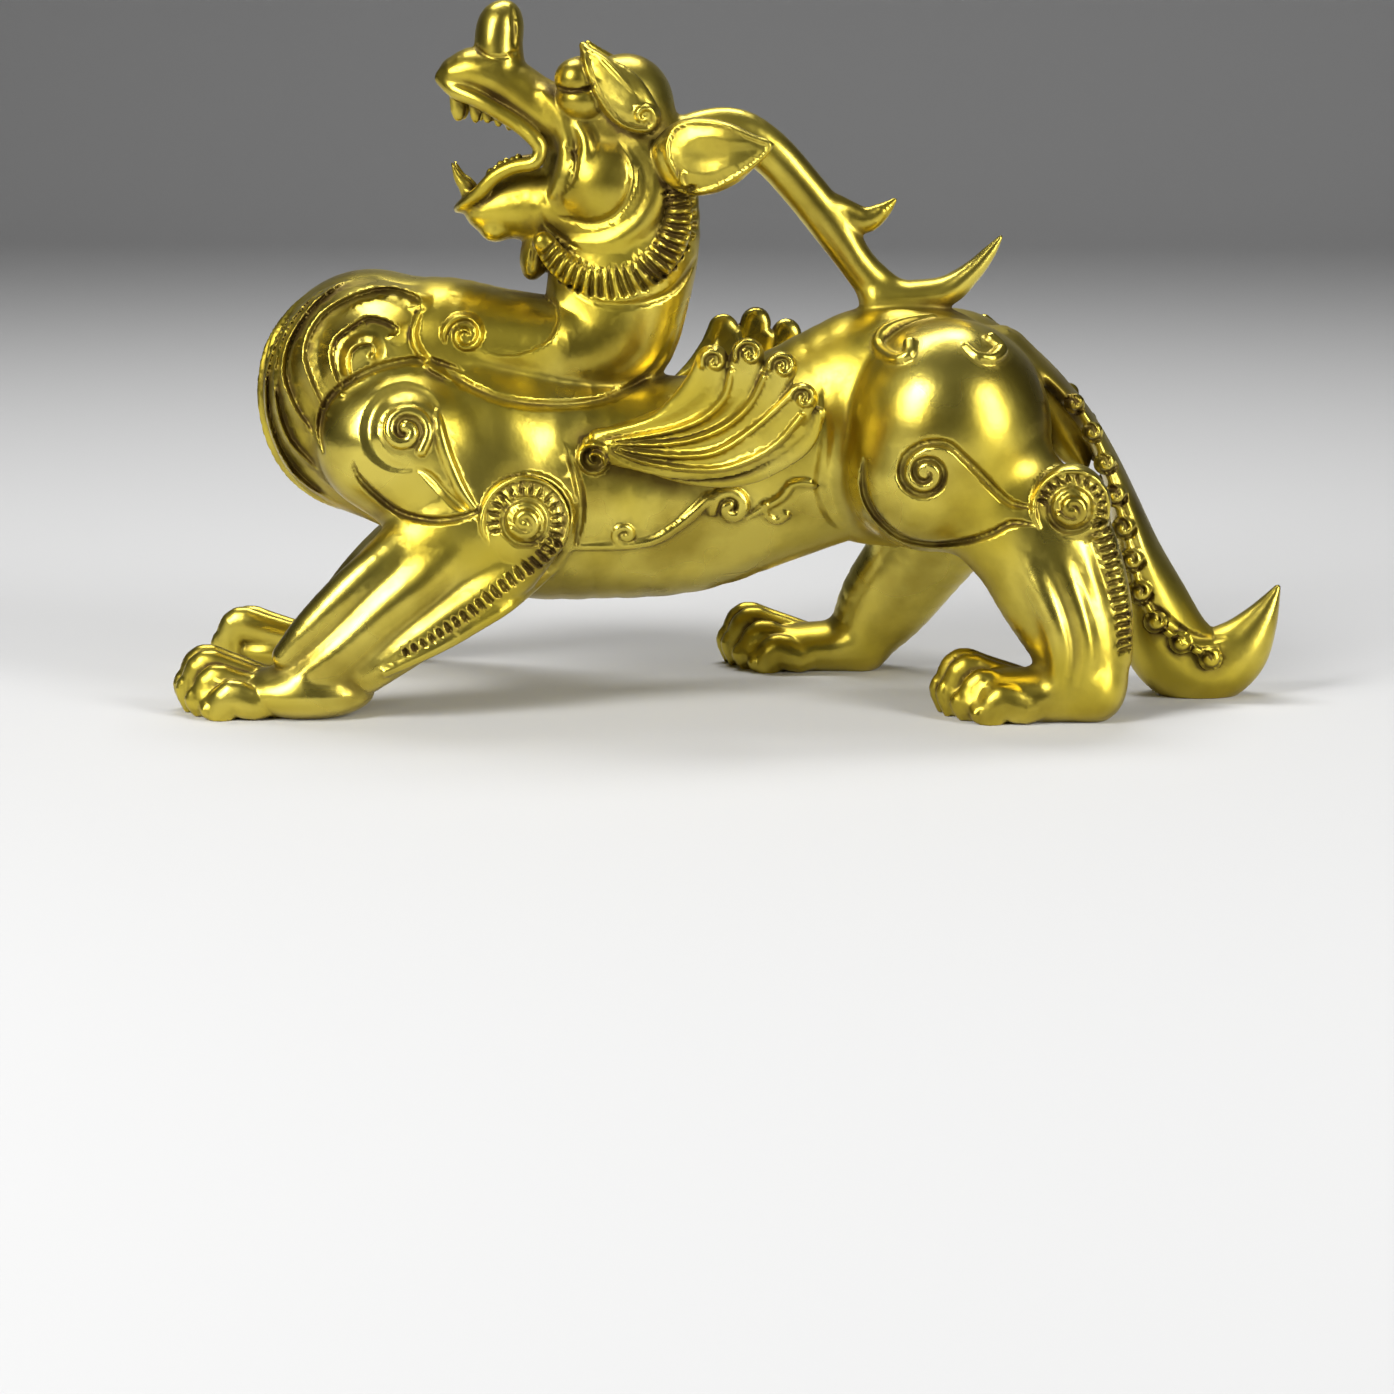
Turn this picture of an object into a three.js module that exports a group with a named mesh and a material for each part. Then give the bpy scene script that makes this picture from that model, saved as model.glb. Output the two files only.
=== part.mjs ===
// A brass pixiu, cast in one piece: a stretching beast with a horn that runs back to its rump.
// Millimetres, +Z up, the paws on Z = 0. It looks along -X, and the side towards -Y is its left.
//
// The form is a field: a number that is negative inside the metal and positive outside it. Balls
// and limbs are blended into it, strokes of carving are added, and the surface where it is zero
// becomes a closed mesh, which is then thinned out where it is nearly flat.
import * as THREE from "three";

const CELL = 1.4; // spacing of the grid that the form is read on
const TRIANGLES = 9800; // what is left after thinning
const MARGIN = 3; // how far round a shape its distance is worked out
const SKIN = 3; // how deep under the surface a stroke of carving reaches
const FAR = 20; // the field away from everything
const NEAR_CORNER = 0.2; // how near a corner of the grid a point may lie at first
const ROUNDS = 6; // of evening out the points
const SOLE = 0.15; // what ends within this of the ground is laid flat on it

const PAW_SPREAD = 36; // from the middle plane to the middle of a front paw
const HIND_SPREAD = 34; // and of a hind paw
const BRASS = { color: 0xb8923a, roughness: 0.28, metalness: 1 };

// Shapes. Each has the box it lies in and its distance from a point.

// An ellipsoid, tilted in the side view.
function ball(centre, radii, tilt = 0) {
  const angle = THREE.MathUtils.degToRad(tilt);
  const cos = Math.cos(angle);
  const sin = Math.sin(angle);
  const [rx, ry, rz] = radii;
  const reach = [Math.hypot(rx * cos, rz * sin), ry, Math.hypot(rx * sin, rz * cos)];
  return {
    low: centre.map((c, i) => c - reach[i]),
    high: centre.map((c, i) => c + reach[i]),
    distance(x, y, z) {
      const dx = x - centre[0];
      const dy = (y - centre[1]) / ry;
      const dz = z - centre[2];
      const u = (dx * cos - dz * sin) / rx;
      const w = (dx * sin + dz * cos) / rz;
      const near = Math.hypot(u, dy, w);
      const slope = Math.hypot(u / rx, dy / ry, w / rz);
      return slope > 1e-9 ? (near * (near - 1)) / slope : -Math.min(rx, ry, rz);
    },
  };
}

// The points of a smooth curve through the stations, with their sizes.
function smooth(stations, steps) {
  const count = (stations.length - 1) * steps;
  const curve = (pick) =>
    new THREE.CatmullRomCurve3(
      stations.map((s) => new THREE.Vector3(...pick(s))),
      false,
      "catmullrom",
      0.5,
    ).getPoints(count);
  const places = curve((s) => [s[0], s[1], s[2]]);
  const sizes = curve((s) => [s[3], s[4], 0]);
  return places.map((p, i) => [p.x, p.y, p.z, Math.max(sizes[i].x, 0.15), Math.max(sizes[i].y, 0.15)]);
}

// A swept body. A station is its centre, its half thickness in the side view, its half width across.
function limb(stations, steps = 3) {
  const rows = smooth(stations, steps);
  const parts = rows.slice(1).map((end, i) => {
    const start = rows[i];
    const along = new THREE.Vector3(end[0] - start[0], end[1] - start[1], end[2] - start[2]);
    const length = along.length();
    along.normalize();
    const across = new THREE.Vector3(0, 1, 0).addScaledVector(along, -along.y).normalize();
    const up = new THREE.Vector3().crossVectors(along, across);
    return { start, end, along, across, up, length };
  });
  const reach = (k, sign) =>
    sign * Math.max(...rows.map((r) => sign * r[k] + Math.max(r[3], r[4])));
  return {
    low: [0, 1, 2].map((k) => reach(k, -1)),
    high: [0, 1, 2].map((k) => reach(k, 1)),
    distance(x, y, z) {
      let best = FAR;
      for (const { start, end, along, across, up, length } of parts) {
        const dx = x - start[0];
        const dy = y - start[1];
        const dz = z - start[2];
        const run = dx * along.x + dy * along.y + dz * along.z;
        const t = Math.min(Math.max(run / length, 0), 1);
        const thick = start[3] + t * (end[3] - start[3]);
        const wide = start[4] + t * (end[4] - start[4]);
        const past = (run - t * length) / thick;
        const side = (dx * across.x + dy * across.y + dz * across.z) / wide;
        const rise = (dx * up.x + dy * up.y + dz * up.z) / thick;
        const near = Math.hypot(past, side, rise);
        const slope = Math.hypot(past / thick, side / wide, rise / thick);
        const d = slope > 1e-9 ? (near * (near - 1)) / slope : -Math.min(thick, wide);
        if (d < best) best = d;
      }
      return best;
    },
  };
}

// The form: shapes joined or cut one after the other, each with the width of its blend.
const form = [];
const join = (shape, blend, sides = "one") => form.push({ shape, blend, sides, cut: false });
const cut = (shape, blend, sides = "one") => form.push({ shape, blend, sides, cut: true });

function trunk() {
  const back = [
    [-74, 0, 68, 30, 29], [-54, 0, 57, 32, 32], [-34, 0, 53.5, 29.5, 29], [-14, 0, 53, 27.5, 25],
    [6, 0, 58, 25.5, 23], [26, 0, 66, 27, 22.5], [41, 0, 68.5, 31, 24], [48.5, 0, 68.5, 27.5, 24],
  ];
  join(limb(back), 0);
  join(ball([-91.5, 0, 76], [28, 28, 31]), 4);
  const neck = [
    [-26, 0, 131, 16, 13], [-27.5, 0, 116, 18.5, 15], [-29.5, 0, 102, 18, 16], [-33, 0, 90.5, 17, 17],
    [-43.5, 0, 86.5, 14.5, 19], [-58, 0, 88.5, 13.5, 21], [-73, 0, 89, 16, 22], [-84, 0, 86.5, 18, 22],
  ];
  join(limb(neck, 4), 2);
}

// Four toes that rise over a knuckle and bend down to a claw. `ankle` is where they start,
// `knuckle` how far ahead of it the middle toes bend.
function paw(x, y, ankle, knuckle, sides) {
  const toes = [
    { out: 7.5, reach: 0.97, rise: 9 }, { out: 2.5, reach: 1, rise: 9.5 },
    { out: -3, reach: 0.78, rise: 6.5 }, { out: -8, reach: 0.5, rise: 2 },
  ];
  for (const { out, reach, rise } of toes) {
    const bend = x - knuckle * reach;
    const toe = [
      [x, y + out, ankle, 4.4, 3.5], [(x + bend) / 2, y + out, (ankle + rise) / 2 + 0.8, 4.2, 3.3],
      [bend, y + out, rise, 4.4, 3.1], [bend - 3.2, y + out, rise - 3, 3.5, 2.7],
      [bend - 2.4, y + out, rise - 6.5, 2.2, 2],
    ];
    join(limb(toe), 0.5, sides);
  }
}

function forelegs() {
  join(ball([-80, -21, 65], [24, 18, 19], 8), 3, "both");
  join(ball([-58.5, -19, 60], [19, 16, 24], -25), 3, "both");
  join(limb([[-74, -24, 58, 17, 13], [-65, -28, 46.5, 17, 11.5], [-59, -29, 39, 12.5, 9.5]]), 4, "both");
  const leg = [
    [-64, -29, 45.5, 14, 10], [-76.5, -32, 34, 15, 10.5], [-90.5, -35, 22, 12.5, 10],
    [-99.5, -PAW_SPREAD, 13, 9.5, 10], [-107, -PAW_SPREAD, 7, 7, 9.5],
  ];
  join(limb(leg), 3, "both");
  const muscles = [
    [[-80, -36, 42.5, 4.5, 5], [-90, -39, 34, 6, 6], [-101, -41, 23.5, 5.3, 5.5], [-109, -40, 15.5, 4, 5]],
    [[-68, -38, 39, 4.5, 5], [-81, -41.5, 29.5, 5.5, 5.5], [-94, -43, 18, 5, 5], [-104, -42, 10, 3.5, 4.5]],
    [[-49, -33, 38, 5, 5], [-63, -37, 29, 5, 5.5], [-77.5, -40, 20, 4.5, 5.5], [-89, -40, 11, 5, 5.5]],
  ];
  for (const muscle of muscles) join(limb(muscle), 1.2, "both");
  join(ball([-105, -PAW_SPREAD, 6], [17, 12, 7]), 2, "both");
  paw(-116, -PAW_SPREAD, 6, 16, "both");
}

// The left hind leg is drawn back, the right one steps forward under the belly.
function hindLegs() {
  join(ball([53, -15, 69], [25.5, 27, 27.5]), 2, "both");
  join(ball([47, -17, 56.5], [20, 23, 17], 15), 5, "both");
  const left = [
    [61.5, -22, 57, 17, 14], [74, -27, 44.5, 17, 13], [79.5, -30, 32.5, 15, 11.5],
    [84.5, -32, 22, 13, 10.5], [87, -33, 13.5, 10.5, 10], [87.5, -HIND_SPREAD, 8, 8, 9.5],
  ];
  join(limb(left), 4);
  const sinews = [
    [[70, -38, 38.5, 4, 5], [77, -41, 29, 4.5, 4.5], [81, -42, 18.5, 4, 4], [81.5, -41, 10.5, 3.5, 4]],
    [[81, -39, 41, 5, 5], [86, -41, 29.5, 4.5, 4.5], [88.5, -42, 17.5, 4, 4], [90, -41, 10.5, 4, 4]],
  ];
  for (const sinew of sinews) join(limb(sinew), 1);
  const leftFoot = [
    [88.5, -HIND_SPREAD, 7.5, 8, 9.5], [76, -HIND_SPREAD, 6, 7, 9.5], [65, -HIND_SPREAD, 6, 6.5, 9],
  ];
  join(limb(leftFoot), 3);
  paw(73, -HIND_SPREAD, 6.5, 17, "one");
  const right = [
    [55, 20, 46.5, 17, 14], [46.5, 28, 30.5, 13.5, 11.5],
    [38.5, 32, 18.5, 12, 10.5], [32, HIND_SPREAD, 8.5, 8.5, 10],
  ];
  join(limb(right), 4);
  const rightFoot = [
    [32, HIND_SPREAD, 6, 7, 9.5], [18.5, HIND_SPREAD, 5.5, 6.5, 9.5], [9, HIND_SPREAD, 5, 6, 9],
  ];
  join(limb(rightFoot), 3);
  paw(16.5, HIND_SPREAD, 6.5, 15.5, "one");
}

function tail() {
  const stations = [
    [66, 0, 85.5, 8, 13], [76, 0, 82.5, 3, 12.5], [85.5, 0, 73, 2.5, 12.5], [92.5, 0, 62, 2.6, 12.5],
    [97.5, 0, 50, 3.7, 12.5], [101.5, 0, 36.5, 6, 12.5], [105.5, 0, 23.5, 9.2, 12], [110.5, 0, 12, 11, 11],
    [118.5, 0, 7, 10, 9.5], [126.5, 0, 10.5, 8.2, 8], [132.5, 0, 18.5, 4.6, 5], [137, 0, 27.5, 0.8, 1.2],
  ];
  join(limb(stations), 2);
  // On the right the blade turns forward at its root and meets the haunch.
  const web = [[73, 8, 82, 4, 5], [79, 9, 74.5, 4, 5], [84.5, 9, 66.5, 3, 4], [87.5, 9, 61, 1.6, 3]];
  join(limb(web), 2);
}

function horn() {
  const beam = [
    [-20, 0, 137, 5, 5], [-9, 0, 140.5, 6, 5.5], [0, 0, 141, 6, 5.5], [8, 0, 136.5, 5.6, 5.5],
    [16, 0, 128, 5.4, 5.2], [24, 0, 118, 5.3, 5], [30.5, 0, 108.5, 4.5, 4.6], [37.5, 0, 100.5, 5.5, 5],
  ];
  join(limb(beam), 1.5);
  const barb = [
    [25, 0, 122, 3.8, 3.5], [31.5, 0, 119.5, 3.4, 3], [36, 0, 121.5, 2.2, 2.3], [39.5, 0, 124.5, 0.6, 0.7],
  ];
  join(limb(barb), 1.5);
  const spur = [
    [35.5, 0, 100, 4.5, 6], [44, 0, 100.5, 4.2, 6], [52.5, 0, 102, 3.8, 5],
    [59, 0, 107, 2.6, 3.5], [63, 0, 111.5, 1.7, 2], [66, 0, 115.5, 0.5, 0.7],
  ];
  join(limb(spur), 2);
}

function head() {
  join(ball([-27.5, 0, 147.5], [12, 13, 13]), 2);
  join(ball([-24, 0, 137], [11, 13, 13]), 3);
  cheeks();
  collar();
  const muzzle = [
    [-32, 0, 142, 11, 12], [-41.5, 0, 143.5, 8.8, 11], [-49.5, 0, 147.5, 7.3, 10],
    [-57, 0, 153, 6.7, 9.3], [-64, 0, 156, 6.2, 8.8], [-69.5, 0, 155.5, 4.4, 7.5],
  ];
  join(limb(muzzle, 4), 2);
  const snout = [
    [-58.5, 0, 156, 6, 8.2], [-60, 0, 162.5, 5.6, 8], [-59.5, 0, 167.5, 5.3, 7.2], [-58, 0, 171, 3.7, 5.6],
  ];
  join(limb(snout), 1);
  const nostril = [
    [-54.5, -5, 171, 1.2, 2.2], [-54.5, -6.5, 166.5, 1.5, 2.2], [-55, -7, 162.5, 1.8, 2.2],
    [-58, -7.5, 160, 1.6, 2], [-62.5, -7.5, 161.5, 1.2, 1.6],
  ];
  join(limb(nostril), 0.6, "both");
  const lips = [
    [-72.5, -3, 154.5, 2.2, 2.2], [-64, -8, 149.5, 2, 2.2], [-53, -9.5, 143, 2, 2.2],
    [-48, -10.5, 137, 2, 2],
    [-54.5, -9.5, 133, 1.8, 2], [-63.5, -7, 126.5, 1.8, 2], [-69, 0, 122.5, 1.4, 1.8],
  ];
  join(limb(lips, 4), 1.2, "both");
  const jaw = [
    [-37.5, 0, 121.5, 11, 12], [-49.5, 0, 123, 9.8, 10.4], [-57, 0, 122.5, 8, 9],
    [-62, 0, 121.5, 5.4, 7], [-65.5, 0, 122.5, 3, 4.6],
  ];
  join(limb(jaw), 1.6);
  join(ball([-60, -2, 117], [3.8, 5, 3]), 1.5, "both");
  const mouth = [
    [-75, 0, 137, 8.6, 5.5], [-64.5, 0, 137, 6.6, 6.2], [-58, 0, 137.5, 4.4, 6.8], [-52.5, 0, 137.5, 2.6, 7],
  ];
  cut(limb(mouth), 0.8);
  join(limb([[-47, 0, 116, 6, 7.5], [-50, 0, 110, 4.2, 6.8], [-51, 0, 107, 2.6, 6]]), 1);
}

// The collar is a flat ring behind each cheek.
const COLLAR = { x: -31.5, z: 123, radius: 17.8, ribs: 13 };
function collar() {
  const stations = [0, 0.2, 0.4, 0.6, 0.8, 1].map((t) => {
    const angle = THREE.MathUtils.degToRad(-152 + 168 * t);
    const size = 2.8 + 1.6 * Math.sin(Math.PI * t);
    return [
      COLLAR.x + COLLAR.radius * Math.cos(angle), -12,
      COLLAR.z + COLLAR.radius * Math.sin(angle), size, size,
    ];
  });
  join(limb(stations), 0.8, "both");
}

// A round cheek inside two folds of skin and one long crescent.
function cheeks() {
  join(ball([-39, 0, 134], [9, 9, 10]), 3);
  join(ball([-30.5, -5, 128.5], [15.5, 11.5, 14.5]), 2, "both");
  join(ball([-33, -9.5, 128.5], [9, 7.5, 9.5], -20), 2.5, "both");
  const crescent = [
    [-29, -9.5, 142, 1.8, 2.4], [-22.5, -11, 137.5, 3, 3.2], [-19.5, -11.5, 129, 3.6, 3.8],
    [-22.5, -12, 120.5, 3.6, 3.8], [-30, -12.5, 115, 3, 3.4], [-40, -9.5, 114.5, 1.6, 2.6],
  ];
  const fold = [
    [-38.5, -10, 143, 1.8, 2.6], [-36.3, -11.5, 138.5, 2.4, 3.2],
    [-37, -12, 133, 2.4, 3.2], [-41, -11, 126, 1.4, 2.2],
  ];
  const corner = [
    [-47, -7, 150.5, 1.8, 2.8], [-43, -8, 146, 2.6, 3.4], [-41, -9, 139.5, 2.8, 3.4],
    [-41.8, -10, 132.5, 2.4, 3], [-44.5, -9.5, 126.5, 1.4, 2.2],
  ];
  for (const skinFold of [crescent, fold, corner]) join(limb(skinFold), 1.2, "both");
}

// Upper teeth hang from the lip, and one fang stands up from the lower jaw.
function teeth() {
  const lip = { x: -69.5, y: -4.4, z: 151 };
  const uppers = [
    { back: 0, thick: 2, long: 4.5 }, { back: 4.3, thick: 1.6, long: 3.8 },
    { back: 7.3, thick: 1.4, long: 2.8 }, { back: 10.2, thick: 1.3, long: 2.3 },
  ];
  for (const { back, thick, long } of uppers) {
    const x = lip.x + back;
    const y = lip.y - 0.4 * back;
    const z = lip.z - 0.42 * back;
    join(limb([[x, y, z, thick, thick], [x, y, z - long, thick * 0.7, thick * 0.7]], 2), 0.3, "both");
  }
  const fang = [[-65.5, -3.5, 123.5, 2.2, 1.8], [-67, -3.5, 127.5, 1.9, 1.5], [-70.5, -3.5, 133.5, 0.4, 0.4]];
  join(limb(fang), 0.5, "both");
}

function eyesAndEars() {
  join(ball([-38.8, -7.5, 154.8], [5.6, 6.2, 5.2], 20), 1.2, "both");
  const pouch = [[-43.5, -7.5, 149.5, 2.8, 4], [-38.5, -9.5, 148.3, 4.4, 4.8], [-32.5, -10.5, 147.5, 3.8, 4.4]];
  join(limb(pouch), 0.8, "both");
  const brow = [
    [-37.5, -9, 162.5, 1, 1.4], [-34.5, -11.5, 157.5, 3.4, 2.8], [-29, -13.5, 151.5, 5.8, 3.4],
    [-23.5, -14.5, 146.5, 5.2, 3.6], [-20, -13.5, 144.5, 3, 3],
  ];
  join(limb(brow), 0.5, "both");
  const ear = [
    [-15, -15, 137, 5.5, 3.5], [-10, -17, 136, 9.4, 3.8], [-4, -19, 136.5, 8.4, 3.6],
    [2, -20.5, 137.5, 5, 2.6], [9, -21.5, 139, 0.8, 0.9],
  ];
  join(limb(ear), 0.8, "both");
  const hollow = [
    [-11.5, -22.5, 136.5, 4.5, 2], [-7, -24, 136.5, 6.6, 3],
    [-1.5, -25, 137, 5.2, 2.4], [5, -24.5, 138, 2, 1.6],
  ];
  cut(limb(hollow), 0.6, "both");
}

// The wing: feathers that fan out from one root and curl up at their tips.
const FEATHER_TIPS = [[-4.5, 86], [4.5, 87.5], [12.5, 84], [17.5, 76.5], [21.5, 73]];
function wings() {
  const root = [-33, 68.5];
  FEATHER_TIPS.forEach(([tipX, tipZ], i) => {
    const last = i === FEATHER_TIPS.length - 1;
    const start = [root[0] + 1.3 * i, root[1] - 1.1 * i];
    const belly = 3 + 2.1 * i; // how far the feather sags below the straight line to its tip
    const feather = [0, 0.25, 0.5, 0.75, 1].map((t) => {
      const lag = Math.sin(Math.PI * t);
      return [
        start[0] + t * (tipX - start[0]) + lag * (4 + i * 0.6),
        last ? -25.5 - 12 * t : -27 - 0.5 * i - 14 * t,
        start[1] + t * t * (tipZ - start[1]) - lag * (belly * 0.35),
        (last ? 2 : 2.2) + (last ? 1.2 : 2.2) * Math.sin(Math.PI * Math.min(t, 0.7)),
        2.2,
      ];
    });
    join(limb(feather, 4), 0.6, "both");
  });
}

// Flat snails where the hair curls at the elbows and on the left hock.
const ELBOW = [-50.5, 48.5];
const HOCK = [82.5, 53];
function snails() {
  join(ball([ELBOW[0], -36.5, ELBOW[1]], [11.2, 4.5, 11.6]), 0.6, "both");
  join(ball([HOCK[0], -36, HOCK[1]], [9, 5, 10]), 0.6);
}

// Carving. A stroke is a line in the side view with a half width and a height, which is negative
// for a groove. It runs over what lies more than `from` to the side of the middle plane.
const carving = [];
function stroke(points, half, height, { from = 0, sides = "both", edge = false, steps = 4 } = {}) {
  const rows = smooth(points.map(([x, z]) => [x, 0, z, 1, 1]), steps).map(([x, , z]) => [x, z]);
  const count = rows.length - 1;
  const parts = rows.slice(1).map((end, i) => {
    const ends = Math.min((i + 0.5) / count, 1 - (i + 0.5) / count); // it fades out at both ends
    const fade = Math.min(1, 0.25 + 5 * ends);
    return { a: rows[i], b: end, half: half * fade, height: height * fade };
  });
  const reach = (k, sign) => sign * (Math.max(...rows.map((r) => sign * r[k])) + half);
  carving.push({
    low: [reach(0, -1), reach(1, -1)],
    high: [reach(0, 1), reach(1, 1)],
    from,
    sides,
    rise(x, z) {
      let best = Infinity;
      let found = parts[0];
      let left = 1;
      for (const part of parts) {
        const dx = part.b[0] - part.a[0];
        const dz = part.b[1] - part.a[1];
        const px = x - part.a[0];
        const pz = z - part.a[1];
        const t = Math.min(Math.max((px * dx + pz * dz) / (dx * dx + dz * dz), 0), 1);
        const d = Math.hypot(px - t * dx, pz - t * dz);
        if (d < best) {
          best = d;
          found = part;
          left = dx * pz - dz * px;
        }
      }
      if (best >= found.half) return 0;
      const share = best / found.half;
      if (!edge) return found.height * (1 - share * share) ** 2;
      // A lock's edge: a wall on the right of the line, and a long slope down on its left.
      return left > 0 ? found.height * (1 - share) ** 1.5 : found.height * Math.max(0, 1 - best / 0.7) ** 2;
    },
  });
}

// A spiral from radius `outer` at angle `start` in to `inner`, in degrees, 90 pointing up.
function spiral([x, z], outer, inner, start, turns) {
  const count = Math.ceil(Math.abs(turns) * 10) + 2;
  return Array.from({ length: count + 1 }, (_, i) => {
    const t = i / count;
    const angle = THREE.MathUtils.degToRad(start + 360 * turns * t);
    const radius = outer + (inner - outer) * t;
    return [x + radius * Math.cos(angle), z + radius * Math.sin(angle)];
  });
}

function carveHead() {
  const valley = [
    [-28.5, 139], [-25.5, 134.5], [-25, 129.5], [-28, 123], [-34.5, 119.5], [-45, 121],
  ];
  stroke(valley, 1.4, -1);
  // Ribs of short hair, cut into the collar.
  for (let i = 0; i <= COLLAR.ribs; i++) {
    const angle = THREE.MathUtils.degToRad(-148 + (164 * i) / COLLAR.ribs);
    const at = (radius, turn) => [
      COLLAR.x + radius * Math.cos(angle + turn),
      COLLAR.z + radius * Math.sin(angle + turn),
    ];
    stroke([at(COLLAR.radius - 3.6, 0), at(COLLAR.radius + 4.6, 0.06)], 1.3, -1.5, { steps: 2 });
  }
  const browRim = [
    [-37.5, 162.5], [-36, 157.5], [-34, 152.5], [-31, 147], [-26, 143.5], [-22, 142.3], [-19, 144.5], [-20.5, 148],
  ];
  stroke(browRim, 1.3, 1.2, { from: 6 });
}

function carveChest() {
  const locks = [
    [[-102, 50.5], [-110.5, 58], [-115.5, 69], [-116.5, 80], [-113.5, 91], [-107, 100.5], [-98.5, 107]],
    [
      [-104, 68.5], [-108.5, 75], [-111.5, 82.5], [-111, 88.5],
      [-108.5, 94], [-103.5, 100.5], [-97, 105], [-85, 106],
    ],
    [
      [-100, 73.5], [-103.5, 80.5], [-106, 88], [-101, 98.5],
      [-95, 102], [-87.5, 104], [-77.5, 101.5], [-80.5, 99],
    ],
    [[-95.5, 78], [-98, 83.5], [-99, 88.5], [-94.5, 95], [-90, 97.5], [-82, 94.5], [-85, 92]],
  ];
  for (const lock of locks) stroke(lock, 4.5, 2, { edge: true });
  stroke(spiral([-66, 92.5], 5.4, 0.8, 200, -1.4), 1.6, 1.6, { from: 8 });
  stroke([[-75.5, 101], [-78, 96.5], [-78.5, 91.5], [-75, 86], [-69, 82]], 1.6, 1.6, { from: 8 });
  const band = [
    [-72, 85], [-64.5, 80.5], [-54.5, 77], [-42.5, 75.5], [-30, 77], [-19.5, 83.5], [-12.5, 96.5], [-10, 104],
  ];
  stroke(band, 1.6, -1.2, { from: 6 });
}

function carveShoulders() {
  const from = 20;
  const upper = [[-100, 64], [-101.5, 69.5], [-100, 76], [-95, 81], [-87, 85], [-76.5, 86.5], [-66.5, 84]];
  stroke(upper, 1.6, -1.3, { from: 10 });
  stroke(spiral([-79, 70.5], 6.8, 0.8, 330, 1.5), 1.4, -1.4, { from });
  stroke([[-73.5, 67.5], [-71, 64], [-68.5, 59.5], [-65.5, 55.5], [-61.5, 52]], 1.5, -1.4, { from });
  const stem = [
    [-86, 74.5], [-82.5, 77], [-77, 77.5], [-72.5, 75], [-70, 69.5], [-67.5, 63], [-64, 57.5], [-60.5, 54],
  ];
  stroke(stem, 1.4, 1, { from });
  const lower = [[-92.5, 63], [-91, 59], [-87.5, 55], [-81.5, 50.5], [-74, 49], [-67, 49.5], [-61, 51.5]];
  stroke(lower, 1.5, -1.4, { from });
}

function carveHaunches() {
  const from = 24;
  stroke(spiral([46.5, 63], 7, 0.8, 60, -1.5), 1.4, -1.4, { from });
  const upper = [
    [39.5, 69], [43.5, 71.5], [49, 71.5], [55, 69.5], [60.5, 64], [65.5, 58.5], [69.5, 55], [73.5, 54.5],
  ];
  stroke(upper, 1.5, -1.4, { from });
  const lower = [
    [32.5, 65], [32, 60.5], [33, 56.5], [36, 50.5], [42, 45.5],
    [48, 44.5], [55, 45], [61.5, 47], [69.5, 51], [74, 50],
  ];
  stroke(lower, 1.5, -1.5, { from });
  stroke([[42, 95.5], [49.5, 96.5], [58, 95.5], [62.5, 93]], 1.3, 0.9);
}

// A spiral inside a snail, and ribs that run out from it to the rim.
function carveSnail([x, z], radius, ribs, sides) {
  stroke(spiral([x, z], radius * 0.6, 0.8, 30, 1.3), 1.3, -1.3, { from: 30, sides });
  for (let i = 0; i < ribs; i++) {
    const angle = THREE.MathUtils.degToRad(-20 + (270 * i) / ribs);
    const at = (r) => [x + r * Math.cos(angle), z + r * Math.sin(angle)];
    stroke([at(radius * 0.68), at(radius * 1.05)], 1.1, -1, { from: 28, sides, steps: 2 });
  }
}

function carveWings() {
  stroke(spiral([-33.5, 63], 4.8, 0.6, 60, 1.4), 1.4, 1.4, { from: 25 });
  for (const [x, z] of FEATHER_TIPS.slice(0, -1)) {
    stroke(spiral([x - 0.5, z - 0.5], 3.6, 0.6, 190, -1.2), 1.2, -1.2, { from: 30 });
  }
}

function carveFlanks() {
  const ripple = [[-39.5, 41], [-32, 41], [-23.5, 41.5], [-18, 43], [-11.5, 47.5], [-6, 52.5]];
  stroke(ripple, 1.4, 1.1, { from: 14 });
  stroke(spiral([-0.5, 50.5], 4.8, 0.6, 190, -1.3), 1.4, 1.2, { from: 12 });
  stroke([[22, 78.5], [23, 69], [21.5, 55.5], [24, 47.5], [27, 43.5]], 1.8, -1.3, { from: 12 });
  stroke([[-41, 66], [-38, 58], [-37, 50.5], [-38.5, 41.5]], 1.7, -1.1, { from: 18 });
}

// Scrolls down both edges of the tail.
function carveTail() {
  const scrolls = [
    [85, 74], [89, 67], [93, 58.5], [96.5, 48.5], [99, 37], [101.5, 25.5], [110.5, 14.5], [120, 9],
  ];
  scrolls.forEach(([x, z], i) => {
    const radius = 2.2 + 0.17 * Math.min(i, 6);
    stroke(spiral([x, z], radius, 0.4, 110, -1.2), 1.1, 1, { from: 4 });
  });
}

// The field at every point of a grid. A shape on both sides is read through the middle plane.
function blend(a, b, width) {
  if (width === 0) return Math.min(a, b);
  const h = Math.min(Math.max(0.5 + (0.5 * (b - a)) / width, 0), 1);
  return b * (1 - h) + a * h - width * h * (1 - h);
}

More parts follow.
